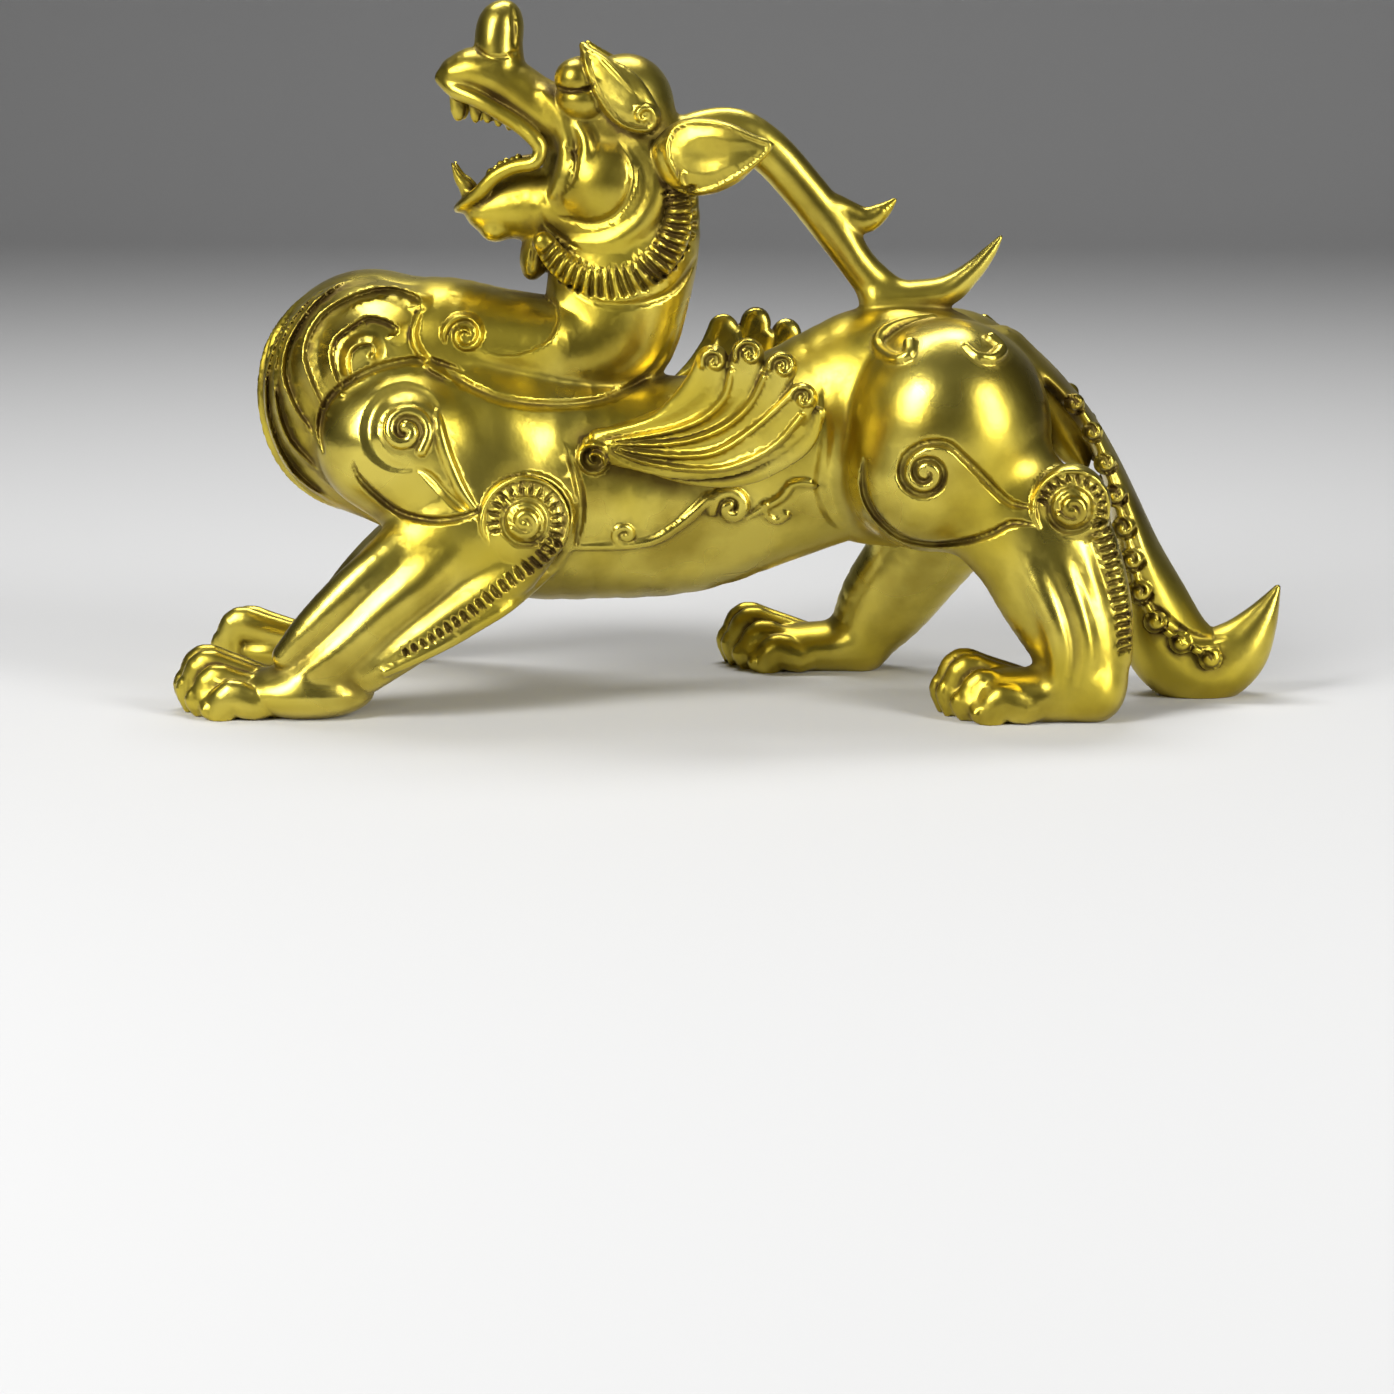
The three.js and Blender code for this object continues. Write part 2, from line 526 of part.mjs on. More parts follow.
function readField() {
  const low = [0, 1, 2].map((k) => Math.min(...form.map(({ shape }) => shape.low[k])) - MARGIN);
  const high = [0, 1, 2].map((k) => Math.max(...form.map(({ shape }) => shape.high[k])) + MARGIN);
  const side = Math.max(-low[1], high[1]);
  low[1] = -side;
  high[1] = side;
  const count = [0, 1, 2].map((k) => Math.ceil((high[k] - low[k]) / CELL) + 1);
  const values = new Float32Array(count[0] * count[1] * count[2]).fill(FAR);
  const index = (i, j, k) => (i * count[1] + j) * count[2] + k;
  const span = (from, to, k) => {
    const first = Math.max(0, Math.floor((from - low[k]) / CELL));
    const last = Math.min(count[k] - 1, Math.ceil((to - low[k]) / CELL));
    return [first, last];
  };
  for (const { shape, blend: width, sides, cut: away } of form) {
    const grow = MARGIN + width;
    const [i0, i1] = span(shape.low[0] - grow, shape.high[0] + grow, 0);
    const [k0, k1] = span(shape.low[2] - grow, shape.high[2] + grow, 2);
    for (let j = 0; j < count[1]; j++) {
      const place = low[1] + j * CELL;
      const y = sides === "both" ? -Math.abs(place) : place;
      if (y < shape.low[1] - grow || y > shape.high[1] + grow) continue;
      for (let i = i0; i <= i1; i++) {
        for (let k = k0; k <= k1; k++) {
          const at = index(i, j, k);
          const d = shape.distance(low[0] + i * CELL, y, low[2] + k * CELL);
          values[at] = away ? -blend(-values[at], d, width) : blend(values[at], d, width);
        }
      }
    }
  }
  carve({ low, count, values, index, span });
  return { low, count, values, index };
}

// Ridges and grooves each count once where strokes cross.
function carve({ low, count, values, index, span }) {
  const ridges = new Float32Array(values.length);
  const grooves = new Float32Array(values.length);
  for (const { low: from, high: to, from: side, sides, rise } of carving) {
    const [i0, i1] = span(from[0], to[0], 0);
    const [k0, k1] = span(from[1], to[1], 2);
    for (let i = i0; i <= i1; i++) {
      for (let k = k0; k <= k1; k++) {
        const height = rise(low[0] + i * CELL, low[2] + k * CELL);
        if (height === 0) continue;
        for (let j = 0; j < count[1]; j++) {
          const y = low[1] + j * CELL;
          if (Math.abs(y) < side || (sides === "one" && y > 0)) continue;
          const at = index(i, j, k);
          if (Math.abs(values[at]) > SKIN) continue;
          ridges[at] = Math.max(ridges[at], height);
          grooves[at] = Math.min(grooves[at], height);
        }
      }
    }
  }
  for (let at = 0; at < values.length; at++) values[at] -= ridges[at] + grooves[at];
  // The ground cuts the paws and the tail off flat.
  for (let i = 0; i < count[0]; i++) {
    for (let j = 0; j < count[1]; j++) {
      for (let k = 0; k < count[2]; k++) {
        const at = index(i, j, k);
        values[at] = Math.max(values[at], -(low[2] + k * CELL));
      }
    }
  }
}

// The surface, by cutting each cube of the grid into six tetrahedra round its diagonal. Such a
// surface is closed, and each of its edges has two triangles.
function surface({ low, count, values, index }) {
  const corner = [0, 1, 2, 3, 4, 5, 6, 7].map((c) => [c & 1, (c >> 1) & 1, (c >> 2) & 1]);
  const tetrahedra = [[0, 1, 3, 7], [0, 3, 2, 7], [0, 2, 6, 7], [0, 6, 4, 7], [0, 4, 5, 7], [0, 5, 1, 7]];
  const points = [];
  const triangles = [];
  const known = new Map();
  const directions = new Map(corner.map((c, code) => [index(...c), code]));
  const crossing = (a, b) => {
    const key = 8 * Math.min(a.at, b.at) + directions.get(Math.abs(a.at - b.at));
    let found = known.get(key);
    if (found === undefined) {
      const t = Math.min(Math.max(a.value / (a.value - b.value), NEAR_CORNER), 1 - NEAR_CORNER);
      found = points.length / 3;
      for (let k = 0; k < 3; k++) points.push(low[k] + CELL * (a.cell[k] + t * (b.cell[k] - a.cell[k])));
      known.set(key, found);
    }
    return found;
  };
  // Triangles turn so that their normal points from the inside corners to the outside ones.
  const face = (a, b, c, inside, outside) => {
    const p = (v, k) => points[3 * v + k];
    const u = [0, 1, 2].map((k) => p(b, k) - p(a, k));
    const v = [0, 1, 2].map((k) => p(c, k) - p(a, k));
    const normal = [u[1] * v[2] - u[2] * v[1], u[2] * v[0] - u[0] * v[2], u[0] * v[1] - u[1] * v[0]];
    const out = [0, 1, 2].reduce((sum, k) => sum + normal[k] * (outside.cell[k] - inside.cell[k]), 0);
    if (out > 0) triangles.push(a, b, c);
    else triangles.push(a, c, b);
  };
  for (let i = 0; i < count[0] - 1; i++) {
    for (let j = 0; j < count[1] - 1; j++) {
      for (let k = 0; k < count[2] - 1; k++) {
        const inner = corner.filter(([a, b, c]) => values[index(i + a, j + b, k + c)] < 0).length;
        if (inner === 0 || inner === 8) continue;
        const cube = corner.map(([a, b, c]) => {
          const at = index(i + a, j + b, k + c);
          return { at, value: values[at] || 1e-6, cell: [i + a, j + b, k + c] };
        });
        for (const four of tetrahedra) {
          const inside = four.map((c) => cube[c]).filter((c) => c.value < 0);
          const outside = four.map((c) => cube[c]).filter((c) => c.value > 0);
          if (inside.length === 1) {
            const [a, b, c] = outside.map((o) => crossing(inside[0], o));
            face(a, b, c, inside[0], outside[0]);
          } else if (inside.length === 3) {
            const [a, b, c] = inside.map((n) => crossing(n, outside[0]));
            face(a, b, c, inside[0], outside[0]);
          } else if (inside.length === 2) {
            const [m, n] = inside;
            const [o, p] = outside;
            const ring = [crossing(m, o), crossing(m, p), crossing(n, p), crossing(n, o)];
            face(ring[0], ring[1], ring[2], m, p);
            face(ring[0], ring[2], ring[3], m, p);
          }
        }
      }
    }
  }
  return { points: Float64Array.from(points), triangles: Int32Array.from(triangles) };
}

// Evens the points out: each moves towards the middle of its neighbours, then back to the surface.
function evenOut({ points, triangles }, { low, count, values, index }) {
  const read = (x, y, z) => {
    const [fx, fy, fz] = [(x - low[0]) / CELL, (y - low[1]) / CELL, (z - low[2]) / CELL];
    const [i, j, k] = [fx, fy, fz].map((f, axis) => Math.min(Math.max(Math.floor(f), 0), count[axis] - 2));
    const [u, v, w] = [fx - i, fy - j, fz - k];
    const at = (a, b, c) => values[index(i + a, j + b, k + c)];
    const row = (b, c) => at(0, b, c) * (1 - u) + at(1, b, c) * u;
    return (row(0, 0) * (1 - v) + row(1, 0) * v) * (1 - w) + (row(0, 1) * (1 - v) + row(1, 1) * v) * w;
  };
  const sums = new Float64Array(points.length);
  const shares = new Float64Array(points.length / 3);
  const step = CELL / 2;
  for (let round = 0; round < ROUNDS; round++) {
    sums.fill(0);
    shares.fill(0);
    for (let t = 0; t < triangles.length; t++) {
      const a = triangles[t];
      const b = triangles[t % 3 === 2 ? t - 2 : t + 1];
      for (let k = 0; k < 3; k++) sums[3 * a + k] += points[3 * b + k];
      shares[a]++;
    }
    for (let v = 0; v < shares.length; v++) {
      if (shares[v] === 0) continue;
      let [x, y, z] = [0, 1, 2].map((k) => 0.4 * points[3 * v + k] + (0.6 * sums[3 * v + k]) / shares[v]);
      for (let pass = 0; pass < 2; pass++) {
        const slope = [
          (read(x + step, y, z) - read(x - step, y, z)) / (2 * step),
          (read(x, y + step, z) - read(x, y - step, z)) / (2 * step),
          (read(x, y, z + step) - read(x, y, z - step)) / (2 * step),
        ];
        const back = read(x, y, z) / Math.max(slope[0] ** 2 + slope[1] ** 2 + slope[2] ** 2, 0.1);
        const move = Math.min(Math.max(back, -step), step);
        x -= move * slope[0];
        y -= move * slope[1];
        z -= move * slope[2];
      }
      points[3 * v] = x;
      points[3 * v + 1] = y;
      points[3 * v + 2] = z;
    }
  }
  return { points, triangles };
}

// The one body of metal, without the specks that the grid cuts off a thin tip.
function wholeBody({ points, triangles }) {
  const leader = Int32Array.from({ length: points.length / 3 }, (_, v) => v);
  const find = (v) => {
    while (leader[v] !== v) v = leader[v] = leader[leader[v]];
    return v;
  };
  for (let t = 0; t < triangles.length; t += 3) {
    leader[find(triangles[t])] = find(triangles[t + 1]);
    leader[find(triangles[t + 1])] = find(triangles[t + 2]);
  }
  const sizes = new Map();
  for (let v = 0; v < leader.length; v++) sizes.set(find(v), (sizes.get(find(v)) ?? 0) + 1);
  const most = Math.max(...sizes.values());
  const kept = [];
  for (let t = 0; t < triangles.length; t += 3) {
    if (sizes.get(find(triangles[t])) === most) kept.push(...triangles.slice(t, t + 3));
  }
  return { points, triangles: Int32Array.from(kept) };
}

// Thinning: edges are drawn together, the cheapest first. The cost of a place is how far it lies
// from the planes of the triangles it stands for.
const PLANE_TERMS = 10;
const EVEN = 2e-4; // keeps the triangles from growing long where the surface is flat
const CLEAR = 1e-4; // how far from level the planes must be for one place to be the best
const CARE = 0.06; // how thin a triangle may get, as its height over its longest side

function addPlanes(planes, at, [a, b, c], d, weight) {
  const terms = [a * a, a * b, a * c, a * d, b * b, b * c, b * d, c * c, c * d, d * d];
  terms.forEach((term, i) => (planes[PLANE_TERMS * at + i] += weight * term));
}

function planeError(q, x, y, z) {
  return (
    q[0] * x * x + 2 * q[1] * x * y + 2 * q[2] * x * z + 2 * q[3] * x +
    q[4] * y * y + 2 * q[5] * y * z + 2 * q[6] * y + q[7] * z * z + 2 * q[8] * z + q[9]
  );
}

// The determinant of three rows of three.
const box = (a, b, c, d, e, f, g, h, i) => a * (e * i - f * h) - b * (d * i - f * g) + c * (d * h - e * g);

// The place with the least error, or the best of both ends and the middle where that isn't clear.
function bestPlace(q, a, b) {
  const whole = box(q[0], q[1], q[2], q[1], q[4], q[5], q[2], q[5], q[7]);
  const size = (q[0] + q[4] + q[7]) / 3;
  const length = Math.hypot(a[0] - b[0], a[1] - b[1], a[2] - b[2]);
  if (Math.abs(whole) > CLEAR * size ** 3) {
    const x = -box(q[3], q[1], q[2], q[6], q[4], q[5], q[8], q[5], q[7]) / whole;
    const y = -box(q[0], q[3], q[2], q[1], q[6], q[5], q[2], q[8], q[7]) / whole;
    const z = -box(q[0], q[1], q[3], q[1], q[4], q[6], q[2], q[5], q[8]) / whole;
    const off = Math.hypot(x - (a[0] + b[0]) / 2, y - (a[1] + b[1]) / 2, z - (a[2] + b[2]) / 2);
    if (off < length) return { place: [x, y, z], error: planeError(q, x, y, z), length };
  }
  const options = [a.map((v, k) => (v + b[k]) / 2), a, b];
  const errors = options.map((p) => planeError(q, ...p));
  const least = errors.indexOf(Math.min(...errors));
  return { place: options[least], error: errors[least], length };
}

class Queue {
  costs = [];
  items = [];
  push(cost, item) {
    let at = this.costs.length;
    while (at > 0) {
      const up = (at - 1) >> 1;
      if (this.costs[up] <= cost) break;
      this.costs[at] = this.costs[up];
      this.items[at] = this.items[up];
      at = up;
    }
    this.costs[at] = cost;
    this.items[at] = item;
  }
  pop() {
    const item = this.items[0];
    const cost = this.costs.pop();
    const last = this.items.pop();
    const count = this.costs.length;
    if (count === 0) return item;
    let at = 0;
    for (;;) {
      let down = 2 * at + 1;
      if (down >= count) break;
      if (down + 1 < count && this.costs[down + 1] < this.costs[down]) down++;
      if (this.costs[down] >= cost) break;
      this.costs[at] = this.costs[down];
      this.items[at] = this.items[down];
      at = down;
    }
    this.costs[at] = cost;
    this.items[at] = last;
    return item;
  }
}

function thin({ points, triangles }, goal) {
  const vertices = points.length / 3;
  const planes = new Float64Array(PLANE_TERMS * vertices);
  const around = Array.from({ length: vertices }, () => []);
  const alive = new Uint8Array(triangles.length / 3).fill(1);
  const version = new Int32Array(vertices);
  const place = (v) => [points[3 * v], points[3 * v + 1], points[3 * v + 2]];
  const normalOf = (a, b, c) => {
    const u = [b[0] - a[0], b[1] - a[1], b[2] - a[2]];
    const v = [c[0] - a[0], c[1] - a[1], c[2] - a[2]];
    return [u[1] * v[2] - u[2] * v[1], u[2] * v[0] - u[0] * v[2], u[0] * v[1] - u[1] * v[0]];
  };
  const dot = (a, b) => a[0] * b[0] + a[1] * b[1] + a[2] * b[2];
  const squared = (a, b) => (a[0] - b[0]) ** 2 + (a[1] - b[1]) ** 2 + (a[2] - b[2]) ** 2;
  const roundness = ([a, b, c], double) => double / Math.max(squared(a, b), squared(b, c), squared(c, a));
  for (let t = 0; t < alive.length; t++) {
    const corners = [0, 1, 2].map((k) => triangles[3 * t + k]);
    const normal = normalOf(...corners.map(place));
    const double = Math.sqrt(dot(normal, normal));
    for (const v of corners) around[v].push(t);
    if (double < 1e-9) continue;
    const unit = normal.map((n) => n / double);
    for (const v of corners) addPlanes(planes, v, unit, -dot(unit, place(corners[0])), double / 6);
  }
  const neighbours = (v) => {
    const found = new Set();
    for (const t of around[v]) for (let k = 0; k < 3; k++) found.add(triangles[3 * t + k]);
    found.delete(v);
    return found;
  };
  let queue = new Queue();
  const offer = (a, b) => {
    const q = [];
    for (let i = 0; i < PLANE_TERMS; i++) q.push(planes[PLANE_TERMS * a + i] + planes[PLANE_TERMS * b + i]);
    const best = bestPlace(q, place(a), place(b));
    const cost = best.error + EVEN * best.length ** 2;
    queue.push(cost, { a, b, place: best.place, stamp: version[a] + version[b] });
  };
  const offerAll = () => {
    queue = new Queue();
    for (let v = 0; v < vertices; v++) for (const n of neighbours(v)) if (n > v) offer(v, n);
  };
  // Moving a corner must not turn one of its triangles over or make it a sliver.
  const turns = (v, other, to) =>
    around[v].some((t) => {
      const corners = [0, 1, 2].map((k) => triangles[3 * t + k]);
      if (corners.includes(other)) return false;
      const before = normalOf(...corners.map(place));
      const moved = corners.map((c) => (c === v ? to : place(c)));
      const after = normalOf(...moved);
      const size = Math.sqrt(dot(after, after));
      const sizeBefore = Math.sqrt(dot(before, before));
      const turned = dot(before, after) < care * 4 * size * sizeBefore;
      const thinner = roundness(moved, size) < Math.min(care, roundness(corners.map(place), sizeBefore));
      return turned || thinner;
    });
  let left = alive.length;
  let care = CARE;
  offerAll();
  while (left > goal && care > CARE / 100) {
    if (queue.costs.length === 0) {
      care /= 2; // edges that were refused are offered again, a little less strictly
      offerAll();
    }
    const { a, b, place: to, stamp } = queue.pop();
    if (stamp !== version[a] + version[b] || around[a].length === 0 || around[b].length === 0) continue;
    const shared = around[a].filter((t) => around[b].includes(t));
    const nearA = neighbours(a);
    const common = [...neighbours(b)].filter((n) => nearA.has(n));
    if (shared.length !== 2 || common.length !== 2 || turns(a, b, to) || turns(b, a, to)) continue;
    for (const t of shared) {
      alive[t] = 0;
      for (let k = 0; k < 3; k++) {
        const v = triangles[3 * t + k];
        around[v] = around[v].filter((other) => other !== t);
      }
    }
    for (const t of around[b]) {
      for (let k = 0; k < 3; k++) if (triangles[3 * t + k] === b) triangles[3 * t + k] = a;
      around[a].push(t);
    }
    around[b] = [];
    to.forEach((value, k) => (points[3 * a + k] = value));
    for (let i = 0; i < PLANE_TERMS; i++) planes[PLANE_TERMS * a + i] += planes[PLANE_TERMS * b + i];
    version[a]++;
    version[b]++;
    left -= 2;
    for (const n of neighbours(a)) offer(a, n);
  }
  return { points, triangles, alive };
}

// The mesh that is left, laid flat where it meets the ground, with its box centred on the Z axis.
function geometryOf({ points, triangles, alive }) {
  const kept = new Map();
  const positions = [];
  const indices = [];
  alive.forEach((lives, t) => {
    if (!lives) return;
    for (let k = 0; k < 3; k++) {
      const v = triangles[3 * t + k];
      if (!kept.has(v)) {
        kept.set(v, kept.size);
        const z = points[3 * v + 2];
        positions.push(points[3 * v], points[3 * v + 1], z < SOLE ? 0 : z);
      }
      indices.push(kept.get(v));
    }
  });
  const geometry = new THREE.BufferGeometry();
  geometry.setAttribute("position", new THREE.Float32BufferAttribute(positions, 3));
  geometry.setIndex(indices);
  geometry.computeBoundingBox();
  const middle = geometry.boundingBox.getCenter(new THREE.Vector3());
  geometry.translate(-middle.x, -middle.y, 0);
  geometry.computeVertexNormals();
  return geometry;
}

trunk();
forelegs();
hindLegs();
tail();
horn();
head();
teeth();
eyesAndEars();
wings();
snails();

carveHead();
carveChest();
carveShoulders();
carveHaunches();
carveSnail(ELBOW, 10.5, 11, "both");
carveSnail(HOCK, 8.8, 10, "one");
carveWings();
carveFlanks();
carveTail();

const field = readField();
const skin = evenOut(wholeBody(surface(field)), field);
const casting = new THREE.Mesh(
  geometryOf(thin(skin, TRIANGLES)),
  new THREE.MeshStandardMaterial(BRASS),
);
casting.name = "pixiu";

const ornament = new THREE.Group();
ornament.add(casting);
export default ornament;
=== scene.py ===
# %% [markdown]
# # A brass pixiu, cast in one piece
#
# The ornament is one hollow brass casting, about 28 cm long. Its big forms are round and smooth,
# and lines of carving run over them: locks on the chest, a spiral on shoulder and haunch, ribs on
# the collar, feathers on the wings. The metal is polished bright where a hand reaches, and brown in
# the bottoms of the lines.
#
# One mesh carries all of it. A sculptor could push it up by hand. Here the form is written as a
# field, a number that is negative in the metal and positive outside it, because a field blends
# limbs into a body without a seam and takes a line of carving as easily as a muscle.

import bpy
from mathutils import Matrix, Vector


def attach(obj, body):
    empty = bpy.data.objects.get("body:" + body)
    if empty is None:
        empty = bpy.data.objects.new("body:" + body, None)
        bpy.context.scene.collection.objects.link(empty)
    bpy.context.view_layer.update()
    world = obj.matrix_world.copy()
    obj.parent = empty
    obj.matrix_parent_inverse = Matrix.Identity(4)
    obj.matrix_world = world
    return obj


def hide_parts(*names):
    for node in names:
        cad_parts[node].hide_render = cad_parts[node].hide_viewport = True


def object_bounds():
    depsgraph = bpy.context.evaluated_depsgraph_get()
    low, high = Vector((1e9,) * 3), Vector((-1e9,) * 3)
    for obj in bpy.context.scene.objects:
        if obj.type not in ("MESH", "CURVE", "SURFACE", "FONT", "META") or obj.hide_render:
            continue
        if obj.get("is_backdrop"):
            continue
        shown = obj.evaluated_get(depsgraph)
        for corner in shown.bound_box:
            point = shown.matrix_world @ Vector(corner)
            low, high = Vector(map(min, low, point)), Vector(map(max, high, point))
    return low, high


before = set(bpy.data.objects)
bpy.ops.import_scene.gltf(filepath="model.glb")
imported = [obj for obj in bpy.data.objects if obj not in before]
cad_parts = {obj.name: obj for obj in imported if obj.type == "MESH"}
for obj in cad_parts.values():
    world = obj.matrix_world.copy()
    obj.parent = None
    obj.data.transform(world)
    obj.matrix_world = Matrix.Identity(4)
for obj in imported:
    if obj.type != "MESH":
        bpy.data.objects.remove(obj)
cad_box = [list(corner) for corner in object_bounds()]
print("the solid measures", [round(1000 * (b - a), 1) for a, b in zip(*cad_box)], "mm")

# %% Tools
import math
import time
from concurrent.futures import ThreadPoolExecutor

import bpy
import numpy as np
import openvdb
from mathutils import Vector

MM = 0.001  # the form is written in millimetres, and Blender's frame is in metres
started = time.perf_counter()


def clock(text):
    print(f"{time.perf_counter() - started:6.1f} s  {text}")


# %% [markdown]
# ## The camera
#
# The photograph looks at the left side from a little in front and a little above, through a long
# lens. The figure fills the upper half of the frame, so the camera is turned down a few degrees
# further than the line from the lens to the figure.

# %% Camera
PHOTO_SIDE = 1394  # pixels
FOCAL_PIXELS = 3800
SENSOR = 36
VIEW_AZIMUTH = 1.8  # degrees towards the tail
VIEW_ELEVATION = 5.8
VIEW_DISTANCE = 0.9585
AIM = Vector((-0.002, 0, 0.0835))
AIM_PIXEL = (725, 364)  # where that point lies in the photograph


def direction(azimuth, elevation):
    """From the figure towards the camera."""
    a = math.radians(azimuth)
    e = math.radians(elevation)
    return Vector((math.sin(a) * math.cos(e), -math.cos(a) * math.cos(e), math.sin(e)))


def off_axis(pixels):
    return math.degrees(math.atan(pixels / FOCAL_PIXELS))


lens = bpy.data.cameras.new("camera")
lens.sensor_width = SENSOR
lens.lens = SENSOR * FOCAL_PIXELS / PHOTO_SIDE
camera = bpy.data.objects.new("camera", lens)
camera.location = AIM + VIEW_DISTANCE * direction(VIEW_AZIMUTH, VIEW_ELEVATION)
turned = VIEW_AZIMUTH + off_axis(AIM_PIXEL[0] - PHOTO_SIDE / 2)
tipped = VIEW_ELEVATION + off_axis(PHOTO_SIDE / 2 - AIM_PIXEL[1])
camera.rotation_euler = (-direction(turned, tipped)).to_track_quat("-Z", "Y").to_euler()
bpy.context.scene.collection.objects.link(camera)
bpy.context.scene.camera = camera
print("the lens is", round(lens.lens, 1), "mm long")

# %% [markdown]
# ## Shapes
#
# Two shapes make every form. A ball is an ellipsoid. A limb is swept along a smooth curve, and each
# of its stations has a thickness seen from the side and a width across, so one limb can be a round
# leg, a flat tail or a feather. Both give a distance for many points at once, and each knows the
# box it lies in, so that far points cost nothing.

# %% Balls and limbs
THINNEST = 0.15  # half of the thinnest that a limb may get


def smooth(stations, steps):
    """A curve through the stations, which are rows of numbers, with steps points to a stretch."""
    rows = np.asarray(stations, float)
    rows = np.vstack([2 * rows[0] - rows[1], rows, 2 * rows[-1] - rows[-2]])
    points = []
    for p0, p1, p2, p3 in zip(rows, rows[1:], rows[2:], rows[3:]):
        for t in np.arange(steps) / steps:
            bend = (2 * p0 - 5 * p1 + 4 * p2 - p3) * t**2
            bend += (3 * p1 - p0 - 3 * p2 + p3) * t**3
            points.append(p1 + 0.5 * ((p2 - p0) * t + bend))
    points.append(rows[-2])
    return np.array(points)


def distance_from_ellipsoid(offsets, radii):
    """For offsets from its centre along its three axes. It is nearly true close to the surface."""
    near = np.sqrt(sum((o / r) ** 2 for o, r in zip(offsets, radii)))
    slope = np.sqrt(sum((o / r**2) ** 2 for o, r in zip(offsets, radii)))
    return near * (near - 1) / np.maximum(slope, 1e-9)


class Ball:
    def __init__(self, centre, radii, tilt=0):
        self.centre = np.array(centre, float)
        self.radii = radii
        cos = math.cos(math.radians(tilt))
        sin = math.sin(math.radians(tilt))
        self.turn = np.array([[cos, 0, sin], [0, 1, 0], [-sin, 0, cos]])
        reach = np.abs(self.turn) @ np.array(radii, float)
        self.low = self.centre - reach
        self.high = self.centre + reach

    def distance(self, points):
        return distance_from_ellipsoid(((points - self.centre) @ self.turn).T, self.radii)


class Limb:
    def __init__(self, *stations, steps=4):
        rows = smooth(stations, steps)
        self.line = rows[:, :3]
        self.sizes = np.maximum(rows[:, 3:], THINNEST)
        along = np.gradient(self.line, axis=0)
        self.along = along / np.linalg.norm(along, axis=1)[:, None]
        across = np.array([0.0, 1.0, 0.0]) - self.along[:, 1:2] * self.along
        self.across = across / np.linalg.norm(across, axis=1)[:, None]
        self.up = np.cross(self.along, self.across)
        reach = self.sizes.max(axis=1)[:, None]
        self.low = (self.line - reach).min(axis=0)
        self.high = (self.line + reach).max(axis=0)

    def distance(self, points):
        nearest = np.full(len(points), np.inf)
        for i in range(len(self.line) - 1):
            start = self.line[i]
            run = self.line[i + 1] - start
            t = np.clip((points - start) @ run / (run @ run), 0, 1)
            offset = points - start - t[:, None] * run
            thick = self.sizes[i, 0] + t * (self.sizes[i + 1, 0] - self.sizes[i, 0])
            wide = self.sizes[i, 1] + t * (self.sizes[i + 1, 1] - self.sizes[i, 1])
            parts = (offset @ self.up[i], offset @ self.across[i], offset @ self.along[i])
            d = distance_from_ellipsoid(parts, (thick, wide, thick))
            np.minimum(nearest, d, out=nearest)
        return nearest


# %% [markdown]
# ## Strokes
#
# Carving is drawn in the side view, as an engraver draws it: a line, half the width of the tool and
# the height it leaves. A ridge stands up, a groove goes in, and a lock is a long slope that ends in
# a wall, as overlapping hair does. A line gets thin and low towards its ends, where the tool came
# out of the wax. A stroke has a depth from which it counts, so that a line on the shoulder does not
# print through on the neck behind it. The chest is also drawn from the front.

# %% A stroke
LOCK_WALL = 1  # mm, how wide the steep side of a lock is
TIP_HALF = 0.35  # the share of its width that a line keeps at its end
TIP_HEIGHT = 0.12  # and the share of its height
TAPER = 0.7  # below 1, a line gets to its full size soon
NARROWEST = 0.25
SOFT = 2.5  # the depth over which a stroke starts to count


def spread(sizes, share):
    """A size for each share from 0 to 1 of a line, when some are given at equal steps."""
    return np.interp(share, np.linspace(0, 1, np.size(sizes)), np.atleast_1d(sizes))


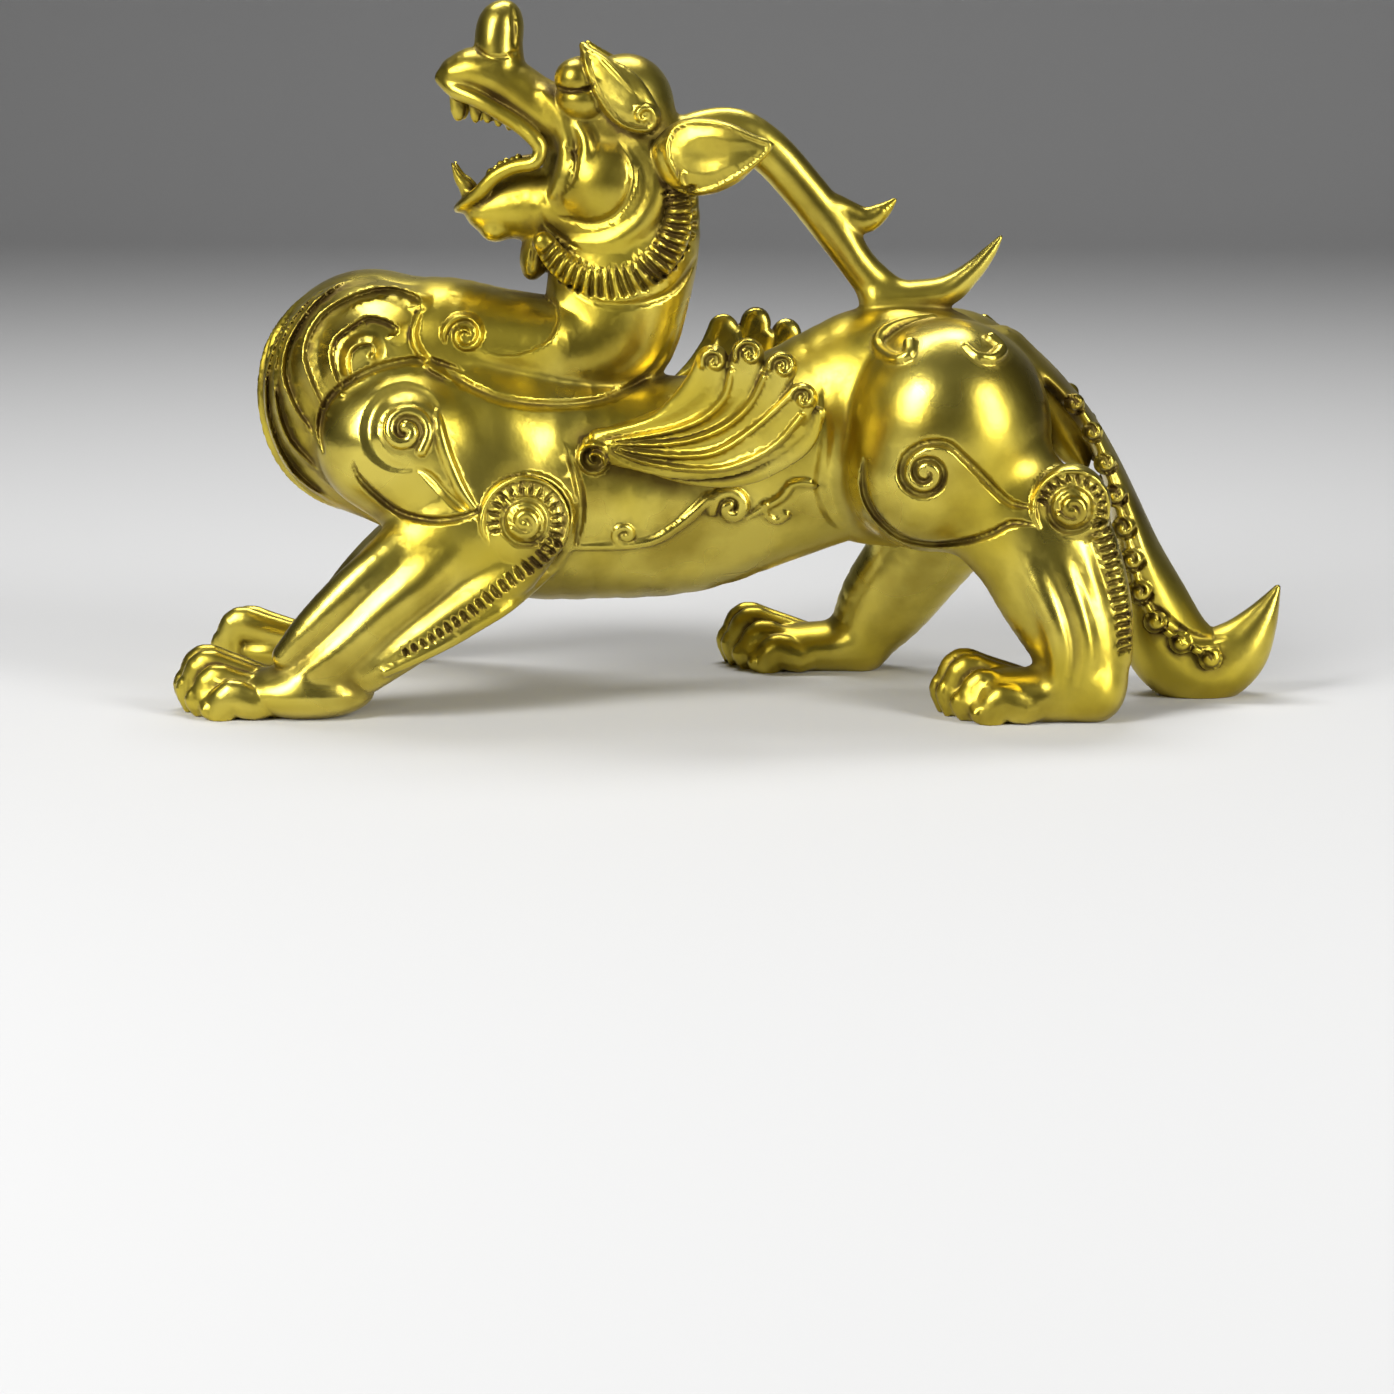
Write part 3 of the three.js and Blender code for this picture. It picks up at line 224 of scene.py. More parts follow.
class Stroke:
    def __init__(self, line, half, height, kind="ridge", ends=(0.3, 0.3), steps=4, **place):
        line = np.asarray(line, float)
        self.line = smooth(line, steps) if steps > 1 and len(line) > 2 else line
        lengths = np.linalg.norm(np.diff(self.line, axis=0), axis=1)
        share = np.concatenate([[0], np.cumsum(lengths)]) / lengths.sum()
        fade = np.ones(len(share))
        if ends[0] > 0:
            fade *= np.clip(share / ends[0], 0, 1) ** TAPER
        if ends[1] > 0:
            fade *= np.clip((1 - share) / ends[1], 0, 1) ** TAPER
        half = spread(half, share) * (TIP_HALF + (1 - TIP_HALF) * fade)
        self.half = np.maximum(half, NARROWEST)
        self.height = height * (TIP_HEIGHT + (1 - TIP_HEIGHT) * fade)
        self.kind = kind
        self.beyond = place.get("beyond", 0)  # how far from the middle plane it starts to count
        self.within = place.get("within", 99)  # and where it ends
        self.soft = place.get("soft", SOFT)
        self.left_only = place.get("left_only", False)
        self.front = place.get("front", False)
        self.low = self.line.min(axis=0) - self.half.max()
        self.high = self.line.max(axis=0) + self.half.max()

    def reaches(self, points, plan):
        side = np.abs(points[:, 1])
        found = np.all((plan > self.low) & (plan < self.high), axis=1)
        found &= (side >= self.beyond) & (side <= self.within)
        if self.left_only:
            found &= points[:, 1] < 0
        return np.nonzero(found)[0]

    def share(self, side):
        share = np.ones(len(side))
        if self.beyond > 0:
            share = np.clip((side - self.beyond) / self.soft, 0, 1)
        return share * np.clip((self.within - side) / self.soft, 0, 1)

    def rise(self, plan):
        nearest = np.full(len(plan), np.inf)
        half = np.ones(len(plan))
        height = np.zeros(len(plan))
        side = np.zeros(len(plan))
        for i in range(len(self.line) - 1):
            run = self.line[i + 1] - self.line[i]
            length = run @ run
            if length < 1e-12:
                continue
            t = np.clip((plan - self.line[i]) @ run / length, 0, 1)
            offset = plan - self.line[i] - t[:, None] * run
            d = np.hypot(offset[:, 0], offset[:, 1])
            closer = d < nearest
            nearest = np.where(closer, d, nearest)
            half = np.where(closer, self.half[i] + t * (self.half[i + 1] - self.half[i]), half)
            step = self.height[i + 1] - self.height[i]
            height = np.where(closer, self.height[i] + t * step, height)
            if self.kind == "lock":
                side = np.where(closer, np.sign(run[0] * offset[:, 1] - run[1] * offset[:, 0]), side)
        if self.kind == "lock":
            slope = np.clip(1 - nearest / half, 0, 1) ** 1.5
            wall = np.clip(1 - nearest / LOCK_WALL, 0, 1)
            return height * np.where(side >= 0, slope, wall * wall * (3 - 2 * wall))
        hump = np.clip(1 - (nearest / half) ** 2, 0, 1) ** 2 * height
        return hump if self.kind == "ridge" else -hump


def spiral(centre, outer, inner, start, turns):
    """Points from the outer radius at the start angle to the inner one. 90 degrees points up."""
    t = np.linspace(0, 1, int(abs(turns) * 14) + 3)
    angle = np.radians(start + 360 * turns * t)
    radius = outer + (inner - outer) * t
    return np.stack([centre[0] + radius * np.cos(angle), centre[1] + radius * np.sin(angle)], 1)


def arc(centre, radius, first, last):
    return spiral(centre, radius, radius, first, (last - first) / 360)


# %% [markdown]
# ## The field
#
# Shapes go in one after the other, and each blends with what is there by its own width: a wide blend
# for a leg that grows out of the body, a narrow one for a tooth. A shape on both sides is written
# once, for the left, and points on the right are read through the middle plane. A cord that lies on
# the surface is a limb too, and looks up how deep the surface is. Strokes come last. Where ridges
# cross, the higher one counts, and where grooves cross, the deeper one. A stroke fades out where the
# form turns away from the view that it is drawn in, because it would be smeared there.

# %% The casting as a field
FAR = 30.0  # the field away from everything
SKIN = 4.0  # strokes reach this deep under the surface
LEFT = np.array([1.0, -1.0, 1.0])
EDGE_ON = 0.1  # a stroke is gone where the form faces the view it is drawn in no more than this
FACING = 0.4  # and whole from here
CHEST_FRONT = -100  # strokes drawn from the front count ahead of here
HALF_WIDTH = 60  # where a search for the surface starts
SEARCH_STEP = 0.25


def blended(a, b, width):
    if width == 0:
        return np.minimum(a, b)
    h = np.clip(0.5 + 0.5 * (b - a) / width, 0, 1)
    return b * (1 - h) + a * h - width * h * (1 - h)


class Casting:
    def __init__(self):
        self.shapes = []
        self.strokes = []
        self.turns = {}  # how far the form faces an axis, on a grid, once that has been read

    def join(self, shape, blend, both=False):
        self.shapes.append((shape, blend, both, False))

    def cut(self, shape, blend, both=False):
        self.shapes.append((shape, blend, both, True))

    def carve(self, line, half, height, kind="ridge", **options):
        self.strokes.append(Stroke(line, half, height, kind, **options))

    def form(self, points, margin):
        field = np.full(len(points), FAR)
        left = points * LEFT
        left[:, 1] = -np.abs(points[:, 1])
        for shape, blend, both, away in self.shapes:
            seen = left if both else points
            grown = margin + blend
            inside = (seen > shape.low - grown) & (seen < shape.high + grown)
            found = np.nonzero(inside.all(axis=1))[0]
            if len(found) == 0:
                continue
            d = shape.distance(seen[found])
            if away:
                field[found] = -blended(-field[found], d, blend)
            else:
                field[found] = blended(field[found], d, blend)
        return field

    def facing(self, points, axis):
        """From 0, where the side view (axis 1) or front view (axis 0) is edge-on, to 1."""
        if not self.turns:
            return np.ones(len(points))
        turn = self.turns[axis]
        cell = np.clip((points - self.start) / self.cell, 0, np.array(turn.shape) - 1.001)
        low = cell.astype(int)
        part = cell - low
        read = np.zeros(len(points))
        for step in np.ndindex(2, 2, 2):
            share = np.prod(np.where(step, part, 1 - part), axis=1)
            i, j, k = (low + step).T
            read += share * turn[i, j, k]
        read *= np.sign(points[:, 1]) if axis == 1 else -1
        share = np.clip((read - EDGE_ON) / (FACING - EDGE_ON), 0, 1)
        return share * share * (3 - 2 * share)

    def relief(self, points):
        ridges = np.zeros(len(points))
        grooves = np.zeros(len(points))
        from_side = points[:, [0, 2]]
        from_front = np.abs(points[:, 1:])
        shares = {False: self.facing(points, 1), True: self.facing(points, 0)}
        for stroke in self.strokes:
            plan = from_front if stroke.front else from_side
            found = stroke.reaches(points, plan)
            if stroke.front:
                found = found[points[found, 0] < CHEST_FRONT]
            if len(found) == 0:
                continue
            rise = stroke.rise(plan[found]) * stroke.share(np.abs(points[found, 1]))
            rise *= shares[stroke.front][found]
            ridges[found] = np.maximum(ridges[found], rise)
            grooves[found] = np.minimum(grooves[found], rise)
        return ridges + grooves

    def carved(self, points, field):
        near = np.nonzero(np.abs(field) < SKIN)[0]
        if len(near):
            field[near] -= self.relief(points[near])
        return np.maximum(field, -points[:, 2])  # the ground cuts the paws off flat

    def field(self, points, margin=2.0):
        return self.carved(points, self.form(points, margin))

    def skin_at(self, x, z):
        """Where a line from the left meets the form, as a number along Y."""
        y = np.arange(-HALF_WIDTH, 0, SEARCH_STEP)
        row = np.stack([np.full(len(y), float(x)), y, np.full(len(y), float(z))], axis=1)
        inside = np.nonzero(self.form(row, 4) < 0)[0]
        return y[inside[0]] if len(inside) else 0

    def lay(self, line, sizes, rise=0, blend=0.5, both=True):
        """A cord on the skin. It is half sunk where rise is 0, and stands on it where rise is 1."""
        stations = []
        for (x, z), size in zip(line, spread(sizes, np.linspace(0, 1, len(line)))):
            stations.append([x, self.skin_at(x, z) - rise * size, z, size, size])
        self.join(Limb(*stations, steps=3), blend, both)

    def slope(self, points, step=0.12):
        """The field's slope, which points out of the metal, from four readings round a point."""
        slope = np.zeros_like(points)
        for corner in ((1, -1, -1), (-1, 1, -1), (-1, -1, 1), (1, 1, 1)):
            corner = np.array(corner, float)
            slope += self.field(points + step * corner)[:, None] * corner
        return slope / (4 * step)


pixiu = Casting()
carve = pixiu.carve
lay = pixiu.lay


def ball(centre, radii, blend, tilt=0, both=False):
    pixiu.join(Ball(centre, radii, tilt), blend, both)


def limb(stations, blend, both=False, steps=4):
    pixiu.join(Limb(*stations, steps=steps), blend, both)


# %% [markdown]
# ## Body and neck
#
# The beast is stretched like a cat: the chest is low, the back sags and the rump is high. The neck
# comes up behind the chest, bends back and carries the head. A trunk from chest to rump, a ball for
# the chest and a bent neck give that line.

# %% Trunk
def trunk():
    back = [
        [-74, 0, 68, 30, 29],
        [-54, 0, 57, 32, 32],
        [-34, 0, 53.5, 29.5, 29],
        [-14, 0, 53, 27.5, 25],
        [6, 0, 58, 25.5, 23],
        [26, 0, 66, 27, 22.5],
        [41, 0, 68.5, 31, 24],
        [48.5, 0, 68.5, 27.5, 24],
    ]
    limb(back, 0, steps=3)
    ball([-91.5, 0, 76], [28, 28, 31], 4)
    neck = [
        [-26, 0, 131, 16, 13],
        [-27.5, 0, 116, 18.5, 15],
        [-29.5, 0, 102, 18, 16],
        [-33, 0, 90.5, 17, 17],
        [-43.5, 0, 86.5, 14.5, 19],
        [-58, 0, 88.5, 13.5, 21],
        [-73, 0, 89, 16, 22],
        [-84, 0, 86.5, 18, 22],
    ]
    limb(neck, 2)


trunk()

# %% [markdown]
# ## Legs
#
# The front legs reach far ahead with the elbows high, and three long muscles run down each of them.
# The right hind leg steps forward. The left one is drawn back under the haunch, and a thin fin of
# hair stands behind it. Each paw has four toes, which rise over a knuckle and drop to a blunt claw.
# From one side of the paw to the other they get longer and higher.

# %% Legs and paws
FORE_SPREAD = 36  # how far the middle of a front paw is from the middle plane
HIND_SPREAD = 34
TOES = ((7.5, 0.95, 11.5), (2.4, 0.86, 11), (-3, 0.66, 8.4), (-7.2, 0.38, 5.4))  # out, reach, rise


def paw(x, y, ankle, knuckle, both=False):
    for out, reach, rise in TOES:
        bend = x - knuckle * reach
        side = y + out
        toe = [
            [x + 5, y + 0.6 * out, ankle - 0.5, 4, 3.4],
            [bend + 5.5, side, rise - 1.2, 4.2, 3.2],
            [bend, side, rise, 4.6, 3.3],
            [bend - 2.8, side, rise - 3.2, 3.7, 3],
            [bend - 3, side, min(rise - 5, 3), 3, 2.8],
        ]
        claw = [
            [bend - 4.6, side, rise - 1.5, 1.2, 1.4],
            [bend - 6.2, side, 0.62 * rise - 1, 1.9, 2],
            [bend - 5, side, 1, 1.2, 1.5],
        ]
        limb(toe, 0.5, both, steps=3)
        limb(claw, 0.3, both, steps=3)
    ball([x - 0.5 * knuckle, y + 1, 4], [0.4 * knuckle + 4, 9.5, 5], 1.5, both=both)


def forelegs():
    ball([-80, -21, 65], [24, 18, 19], 3, tilt=8, both=True)
    ball([-58.5, -19, 60], [19, 16, 24], 3, tilt=-25, both=True)
    elbow = [[-74, -24, 58, 17, 13], [-65, -28, 46.5, 17, 11.5], [-59, -29, 39, 12.5, 9.5]]
    limb(elbow, 4, both=True)
    leg = [
        [-64, -29, 45.5, 14, 10],
        [-76.5, -32, 34, 15, 10.5],
        [-90.5, -35, 22, 12.5, 10],
        [-99.5, -FORE_SPREAD, 13, 9.5, 10],
        [-107, -FORE_SPREAD, 7, 7, 9.5],
    ]
    limb(leg, 3, both=True)
    upper = [[-77, -30, 47, 3, 4], [-84, -36, 39.5, 5, 5.5], [-93, -39, 31, 5.8, 6]]
    upper += [[-102, -40.5, 22.5, 5, 5.5], [-109, -40, 15.5, 3.5, 5]]
    middle = [[-66, -34, 43, 2.5, 4], [-74, -38.5, 35, 5, 5], [-84, -41, 27, 5.6, 5.5]]
    middle += [[-95, -42.5, 17, 5, 5], [-105, -41.5, 9.5, 3.5, 4.5]]
    lower = [[-46, -32, 41, 3.5, 4], [-54, -35, 34.5, 5.2, 5], [-66, -38, 26.5, 5.2, 5.5]]
    lower += [[-78, -40, 18.5, 5, 5.5], [-89, -40, 11, 4.6, 5.5]]
    for muscle, blend in ((upper, 2), (middle, 2.2), (lower, 2.6)):
        limb(muscle, blend, both=True)
    ball([-105, -FORE_SPREAD, 6], [17, 12, 7], 2, both=True)
    paw(-116, -FORE_SPREAD, 6, 16, both=True)


def hind_legs():
    ball([53, -15, 69], [25.5, 27, 27.5], 2, both=True)
    ball([47, -17, 56.5], [20, 23, 17], 5, tilt=15, both=True)
    left = [
        [61.5, -22, 57, 17, 14],
        [74, -27, 44.5, 17, 13],
        [79.5, -30, 32.5, 15, 11.5],
        [84.5, -32, 22, 13, 10.5],
        [87, -33, 13.5, 10.5, 10],
        [87.5, -HIND_SPREAD, 8, 8, 9.5],
    ]
    limb(left, 4)
    front = [[69, -32, 46, 2, 3], [73.5, -37, 37, 3.6, 4.2], [78, -40, 27.5, 3.8, 4.4]]
    front += [[80.5, -41, 18.5, 3.4, 4], [80.5, -40, 10.5, 3, 4]]
    middle = [[76, -33, 46, 2, 3], [81, -37.5, 36.5, 3.2, 4], [84.5, -40, 27.5, 3.2, 4]]
    middle += [[86.5, -41, 19, 3, 4], [85.5, -40.5, 11, 3.2, 4]]
    rear = [[82, -33, 46, 2.6, 3.5], [86.5, -36, 36, 2.8, 4], [89, -37, 26, 2.8, 4]]
    rear += [[90.3, -37.5, 17, 2.8, 4], [90.5, -37, 9, 3.2, 4]]
    for sinew in (front, middle, rear):
        limb(sinew, 2)
    fin = [[88, -32, 50, 3.6, 5], [91, -33, 41.5, 3.8, 5], [93.2, -33.5, 33, 3.8, 5]]
    fin += [[94.8, -33.5, 25, 3.4, 5], [95.6, -33, 15, 2.6, 4]]
    limb(fin, 1)
    foot = [[88.5, -HIND_SPREAD, 7.5, 8, 9.5], [76, -HIND_SPREAD, 6, 7, 9.5]]
    foot += [[65, -HIND_SPREAD, 6, 6.5, 9]]
    limb(foot, 3)
    paw(73, -HIND_SPREAD, 6.5, 17)
    right = [
        [55, 20, 46.5, 17, 14],
        [46.5, 28, 30.5, 13.5, 11.5],
        [38.5, 32, 18.5, 12, 10.5],
        [32, HIND_SPREAD, 8.5, 8.5, 10],
    ]
    limb(right, 4)
    foot = [[32, HIND_SPREAD, 6, 7, 9.5], [18.5, HIND_SPREAD, 5.5, 6.5, 9.5]]
    foot += [[9, HIND_SPREAD, 5, 6, 9]]
    limb(foot, 3)
    paw(16.5, HIND_SPREAD, 6.5, 15.5)


forelegs()
hind_legs()

# %% [markdown]
# ## Tail and horn
#
# The tail leaves the rump as a thin blade, thickens on its way down, lies on the ground and ends in
# a point that turns up. The horn is nearly round. It arches from the crown to the rump, where it
# ends in a spur, and a barb stands out of its back.

# %% Tail and horn
def tail():
    stations = [
        [66, 0, 85.5, 8, 13],
        [76, 0, 82.5, 3, 12.5],
        [85.5, 0, 73, 2.5, 12.5],
        [92.5, 0, 62, 2.6, 12.5],
        [97.5, 0, 50, 3.7, 12.5],
        [101.5, 0, 36.5, 6, 12.5],
        [105.5, 0, 23.5, 9.2, 12],
        [110.5, 0, 12, 11, 11],
        [118.5, 0, 7, 10, 9.5],
        [126.5, 0, 10.5, 8.2, 8],
        [132.5, 0, 18.5, 4.6, 5],
        [137, 0, 27.5, 0.8, 1.2],
    ]
    # Many short stretches keep an end that bends and tapers at once free of ripples.
    limb(stations, 2, steps=20)
    # On the right the blade turns forward at its root and meets the haunch.
    web = [[73, 8, 82, 5, 5], [78, 9, 75.5, 6, 5], [82, 9.5, 69, 6, 4.5], [85.3, 9.5, 62.5, 5, 4]]
    web += [[88, 9, 57.8, 1.8, 3]]
    limb(web, 2)


def horn():
    beam = [
        [-20, 0, 137, 5, 5],
        [-9, 0, 140.5, 6, 5.5],
        [0, 0, 141, 6, 5.5],
        [8, 0, 136.5, 5.6, 5.5],
        [16, 0, 128, 5.4, 5.2],
        [24, 0, 118, 5.3, 5],
        [30.5, 0, 108.5, 4.5, 4.6],
        [37.5, 0, 100.5, 5.5, 5],
    ]
    limb(beam, 1.5)
    barb = [[25, 0, 122, 3.8, 3.5], [31.5, 0, 119.5, 3.4, 3]]
    barb += [[36, 0, 121.5, 2.2, 2.3], [39.5, 0, 124.5, 0.6, 0.7]]
    limb(barb, 1.5)
    spur = [
        [35.5, 0, 100, 4.5, 6],
        [44, 0, 100.5, 4.2, 6],
        [52.5, 0, 102, 3.8, 5],
        [59, 0, 107, 2.6, 3.5],
        [63, 0, 111.5, 1.7, 2],
        [66, 0, 115.5, 0.5, 0.7],
    ]
    limb(spur, 2, steps=16)


tail()
horn()

# %% [markdown]
# ## Head
#
# The head is thrown back with the mouth wide open. The snout ends in a knob that stands up. A lip
# runs round the open jaws as one cord, teeth hang from it, and a fang stands up in front. The brow
# sweeps back over the eye and ends in a curl, and behind the cheek sits a collar of short hair.

# %% Head
COLLAR = (-31.5, 123)
COLLAR_RADIUS = 17.8


def collar():
    """A flat ring behind each cheek, which the ribs of short hair are cut into."""
    ring = []
    for t in np.linspace(0, 1, 9):
        angle = math.radians(-152 + 168 * t)
        x = COLLAR[0] + COLLAR_RADIUS * math.cos(angle)
        z = COLLAR[1] + COLLAR_RADIUS * math.sin(angle)
        size = 2.8 + 1.6 * math.sin(math.pi * t)
        ring.append([x, -12, z, size, size])
    limb(ring, 0.8, both=True)


def cheeks():
    """A round cheek inside two folds of skin and one long crescent."""
    ball([-39, 0, 134], [9, 9, 10], 3)
    ball([-30.5, -5, 128.5], [15.5, 11.5, 14.5], 2, both=True)
    ball([-33, -9.5, 128.5], [9, 7.5, 9.5], 2.5, tilt=-20, both=True)
    crescent = [[-29, -9.5, 142, 1.8, 2.4], [-22.5, -11, 137.5, 3, 3.2], [-19.5, -11.5, 129, 3.6, 3.8]]
    crescent += [[-22.5, -12, 120.5, 3.6, 3.8], [-30, -12.5, 115, 3, 3.4], [-40, -9.5, 114.5, 1.6, 2.6]]
    fold = [[-38.5, -10, 143, 1.8, 2.6], [-36.3, -11.5, 138.5, 2.4, 3.2]]
    fold += [[-37, -12, 133, 2.4, 3.2], [-41, -11, 126, 1.4, 2.2]]
    corner = [[-47, -7, 150.5, 1.8, 2.8], [-43, -8, 146, 2.6, 3.4], [-41, -9, 139.5, 2.8, 3.4]]
    corner += [[-41.8, -10, 132.5, 2.4, 3], [-44.5, -9.5, 126.5, 1.4, 2.2]]
    for skin_fold in (crescent, fold, corner):
        limb(skin_fold, 1.2, both=True)


def skull():
    ball([-27.5, 0, 147.5], [12, 13, 13], 2)
    ball([-24, 0, 137], [11, 13, 13], 3)


def muzzle():
    bridge = [
        [-32, 0, 142, 11, 12],
        [-41.5, 0, 143.5, 8.8, 11],
        [-49.5, 0, 147.5, 7.3, 10],
        [-57, 0, 153, 6.7, 9.3],
        [-64, 0, 156, 6.2, 8.8],
        [-69.5, 0, 155.5, 4.4, 7.5],
    ]
    limb(bridge, 2)
    knob = [[-58.5, 0, 157, 6, 8.2], [-59, 0, 162.5, 6, 8]]
    knob += [[-58.5, 0, 167, 5.8, 7.4], [-57.7, 0, 169, 4.6, 6]]
    limb(knob, 1)
    jaw = [
        [-37.5, 0, 121.5, 11, 12],
        [-49.5, 0, 123, 9.2, 9.8],
        [-57, 0, 122.5, 7.6, 8.6],
        [-62, 0, 121.5, 5.4, 7],
        [-65.5, 0, 122.5, 3, 4.6],
    ]
    limb(jaw, 1.6)
    ball([-60, -2, 117], [3.8, 5, 3], 1.5, both=True)


def mouth():
    lips = [
        [-72.5, -3, 154.5, 2.2, 2.2],
        [-69, -6, 151.5, 2.2, 2.2],
        [-64, -8, 149.5, 2, 2.2],
        [-58.5, -9, 146.5, 2, 2.2],
        [-53, -9.5, 143, 2, 2.2],
        [-49, -10.5, 139.5, 2, 2.2],
        [-48, -10.5, 137, 1.9, 2],
        [-49.5, -10.5, 134, 1.8, 2],
        [-54.5, -9.5, 133, 1.8, 2],
        [-59.5, -8.5, 130.5, 1.8, 2],
        [-63.5, -7, 126.5, 1.8, 2],
        [-67.5, -4, 123.5, 1.6, 1.9],
        [-69, 0, 122.5, 1.4, 1.8],
    ]
    limb(lips, 1.2, both=True, steps=3)
    hollow = [[-75, 0, 137, 8.6, 5.5], [-64.5, 0, 137, 6.6, 6.2]]
    hollow += [[-58, 0, 137.5, 4.4, 6.8], [-52.5, 0, 137.5, 2.6, 7]]
    pixiu.cut(Limb(*hollow), 0.8)
    tongue = [[-47.5, 0, 127, 3, 5], [-55, 0, 129.5, 2.2, 4.4], [-61.5, 0, 128, 1.5, 3]]
    limb(tongue, 0.8)
    beard = [[-47, 0, 116, 6, 7.5], [-50, 0, 110, 4.2, 6.8], [-51, 0, 107, 2.6, 6]]
    limb(beard, 1)


def teeth():
    """Upper teeth get smaller towards the corner of the mouth, where three low ones stand."""
    front = (-69, -4.4, 150.5)
    sizes = ((0, 2, 5.2), (4.5, 1.5, 4.5), (7.5, 1.4, 3.4), (10.3, 1.3, 3), (13, 1.2, 2.5))
    for back, thick, length in sizes:
        x = front[0] + back
        y = front[1] - 0.5 * back + 0.016 * back**2
        z = front[2] - 0.25 * back - 0.013 * back**2
        tooth = [[x, y, z, thick, 0.8 * thick], [x + 0.25, y, z - 0.7 * length, thick, 0.8 * thick]]
        tooth += [[x + 0.25, y, z - length, 0.7 * thick, 0.6 * thick]]
        limb(tooth, 0.3, both=True, steps=2)
    fang = [[-65.5, -3.5, 123.5, 2.2, 1.8], [-67, -3.5, 127.5, 1.9, 1.5]]
    fang += [[-69, -3.5, 130, 1.2, 1], [-70.5, -3.5, 133.5, 0.35, 0.4]]
    limb(fang, 0.5, both=True)
    for x, z in ((-60.5, 131), (-58, 132.8), (-55, 133.8)):
        ball([x, -7.5, z], [1.3, 1.1, 1.7], 0.3, both=True)


def eyes_and_ears():
    ball([-38.8, -7.8, 154.3], [5.8, 6.8, 5.4], 1, tilt=8, both=True)
    ball([-37.6, -8.6, 149.2], [6.6, 6.4, 5.2], 0.8, tilt=4, both=True)
    brow = [
        [-37.4, -9, 162.5, 1, 1.4],
        [-33.8, -11.5, 157, 3.8, 2.8],
        [-28.5, -13.2, 151.3, 6.2, 3.2],
        [-24.3, -14.3, 147, 5.4, 3.4],
        [-21.3, -14, 145.2, 3.4, 3],
    ]
    limb(brow, 0.5, both=True)
    ear = [
        [-15, -15, 137, 5.5, 3.5],
        [-10, -17, 136, 9.4, 3.8],
        [-4, -19, 136.5, 8.4, 3.6],
        [2, -20.5, 137.5, 5, 2.6],
        [9, -21.5, 139, 0.8, 0.9],
    ]
    limb(ear, 0.8, both=True)
    hollow = [[-11.5, -22.5, 136.5, 4.5, 2], [-7, -24, 136.5, 6.6, 3]]
    hollow += [[-1.5, -25, 137, 5.2, 2.4], [5, -24.5, 138, 2, 1.6]]
    pixiu.cut(Limb(*hollow), 0.6, both=True)


skull()
cheeks()
collar()
muzzle()
mouth()
teeth()
eyes_and_ears()

# %% [markdown]
# ## Wings and snails of hair
#
# A small wing lies on each flank: five feathers that start at one curl and fan out upwards. Where
# leg hair curls, at the elbows and at the left hock, a flat snail stands on the surface.

# %% Wings and snails
ELBOW = (-50, 49)
HOCK = (82.5, 53)
FEATHER_SIZE = ((2.2, 3.2, 4.2, 4.4, 4), (2, 3, 3.6, 3.2, 2.2))  # of four feathers, of the last


def wings():
    feathers = [
        [(-32.5, 68.5), (-19.5, 71), (-11.5, 76.5), (-6.5, 83), (-4.5, 88.5)],
        [(-32, 67.5), (-17, 69), (-6, 74.5), (1.5, 82.5), (4, 90)],
        [(-30.5, 66.5), (-15, 66.5), (-2, 70.5), (8, 79.5), (12, 87)],
        [(-29.5, 65.5), (-12.5, 63.5), (1.5, 66), (12.5, 73.5), (17, 79.5)],
        [(-27, 64.5), (-10.5, 60.5), (4, 61.5), (15.5, 68.5), (20.5, 75.5)],
    ]
    for i, feather in enumerate(feathers):
        last = i == len(feathers) - 1
        sizes = FEATHER_SIZE[last]
        lean = 1 if last else -0.5 * i
        stations = []
        for (x, z), y, size in zip(feather, (-32, -35, -37.5, -40, -41), sizes):
            stations.append([x, y + lean, z, size, 2.2])
        limb(stations, 0.6, both=True)
    # A web fills the gap between two feathers, so that only their tips stand apart.
    for i, (upper, lower) in enumerate(zip(feathers, feathers[1:])):
        web = []
        for k, y in enumerate((-32, -35, -37.5, -39.6)):
            x = (upper[k][0] + lower[k][0]) / 2
            z = (upper[k][1] + lower[k][1]) / 2
            web.append([x, y - 0.5 * i, z, 3, 1.6])
        tip_x = (upper[4][0] + lower[4][0]) / 2 - 1.5
        tip_z = (upper[4][1] + lower[4][1]) / 2 - 2.2
        web.append([tip_x, -40.5 - 0.3 * i, tip_z, 2.6, 1.6])
        limb(web, 0.6, both=True)


def snails():
    ball([ELBOW[0] - 1, -36.5, ELBOW[1] - 1], [11.2, 4.5, 11.6], 0.6, both=True)
    ball([HOCK[0], -36, HOCK[1] + 0.5], [9, 5, 10], 0.6)


wings()
snails()
print(len(pixiu.shapes), "shapes make the form")

# %% [markdown]
# ## Carved lines
#
# The lines are the hand of the wax modeller. They go where the photograph shows them: folds behind
# the mouth, a slit between the eyelids, locks that roll round the chest, a curl on the shoulder and
# on the haunch, and a vine on the flank. The right side, which is not seen, mirrors the left.

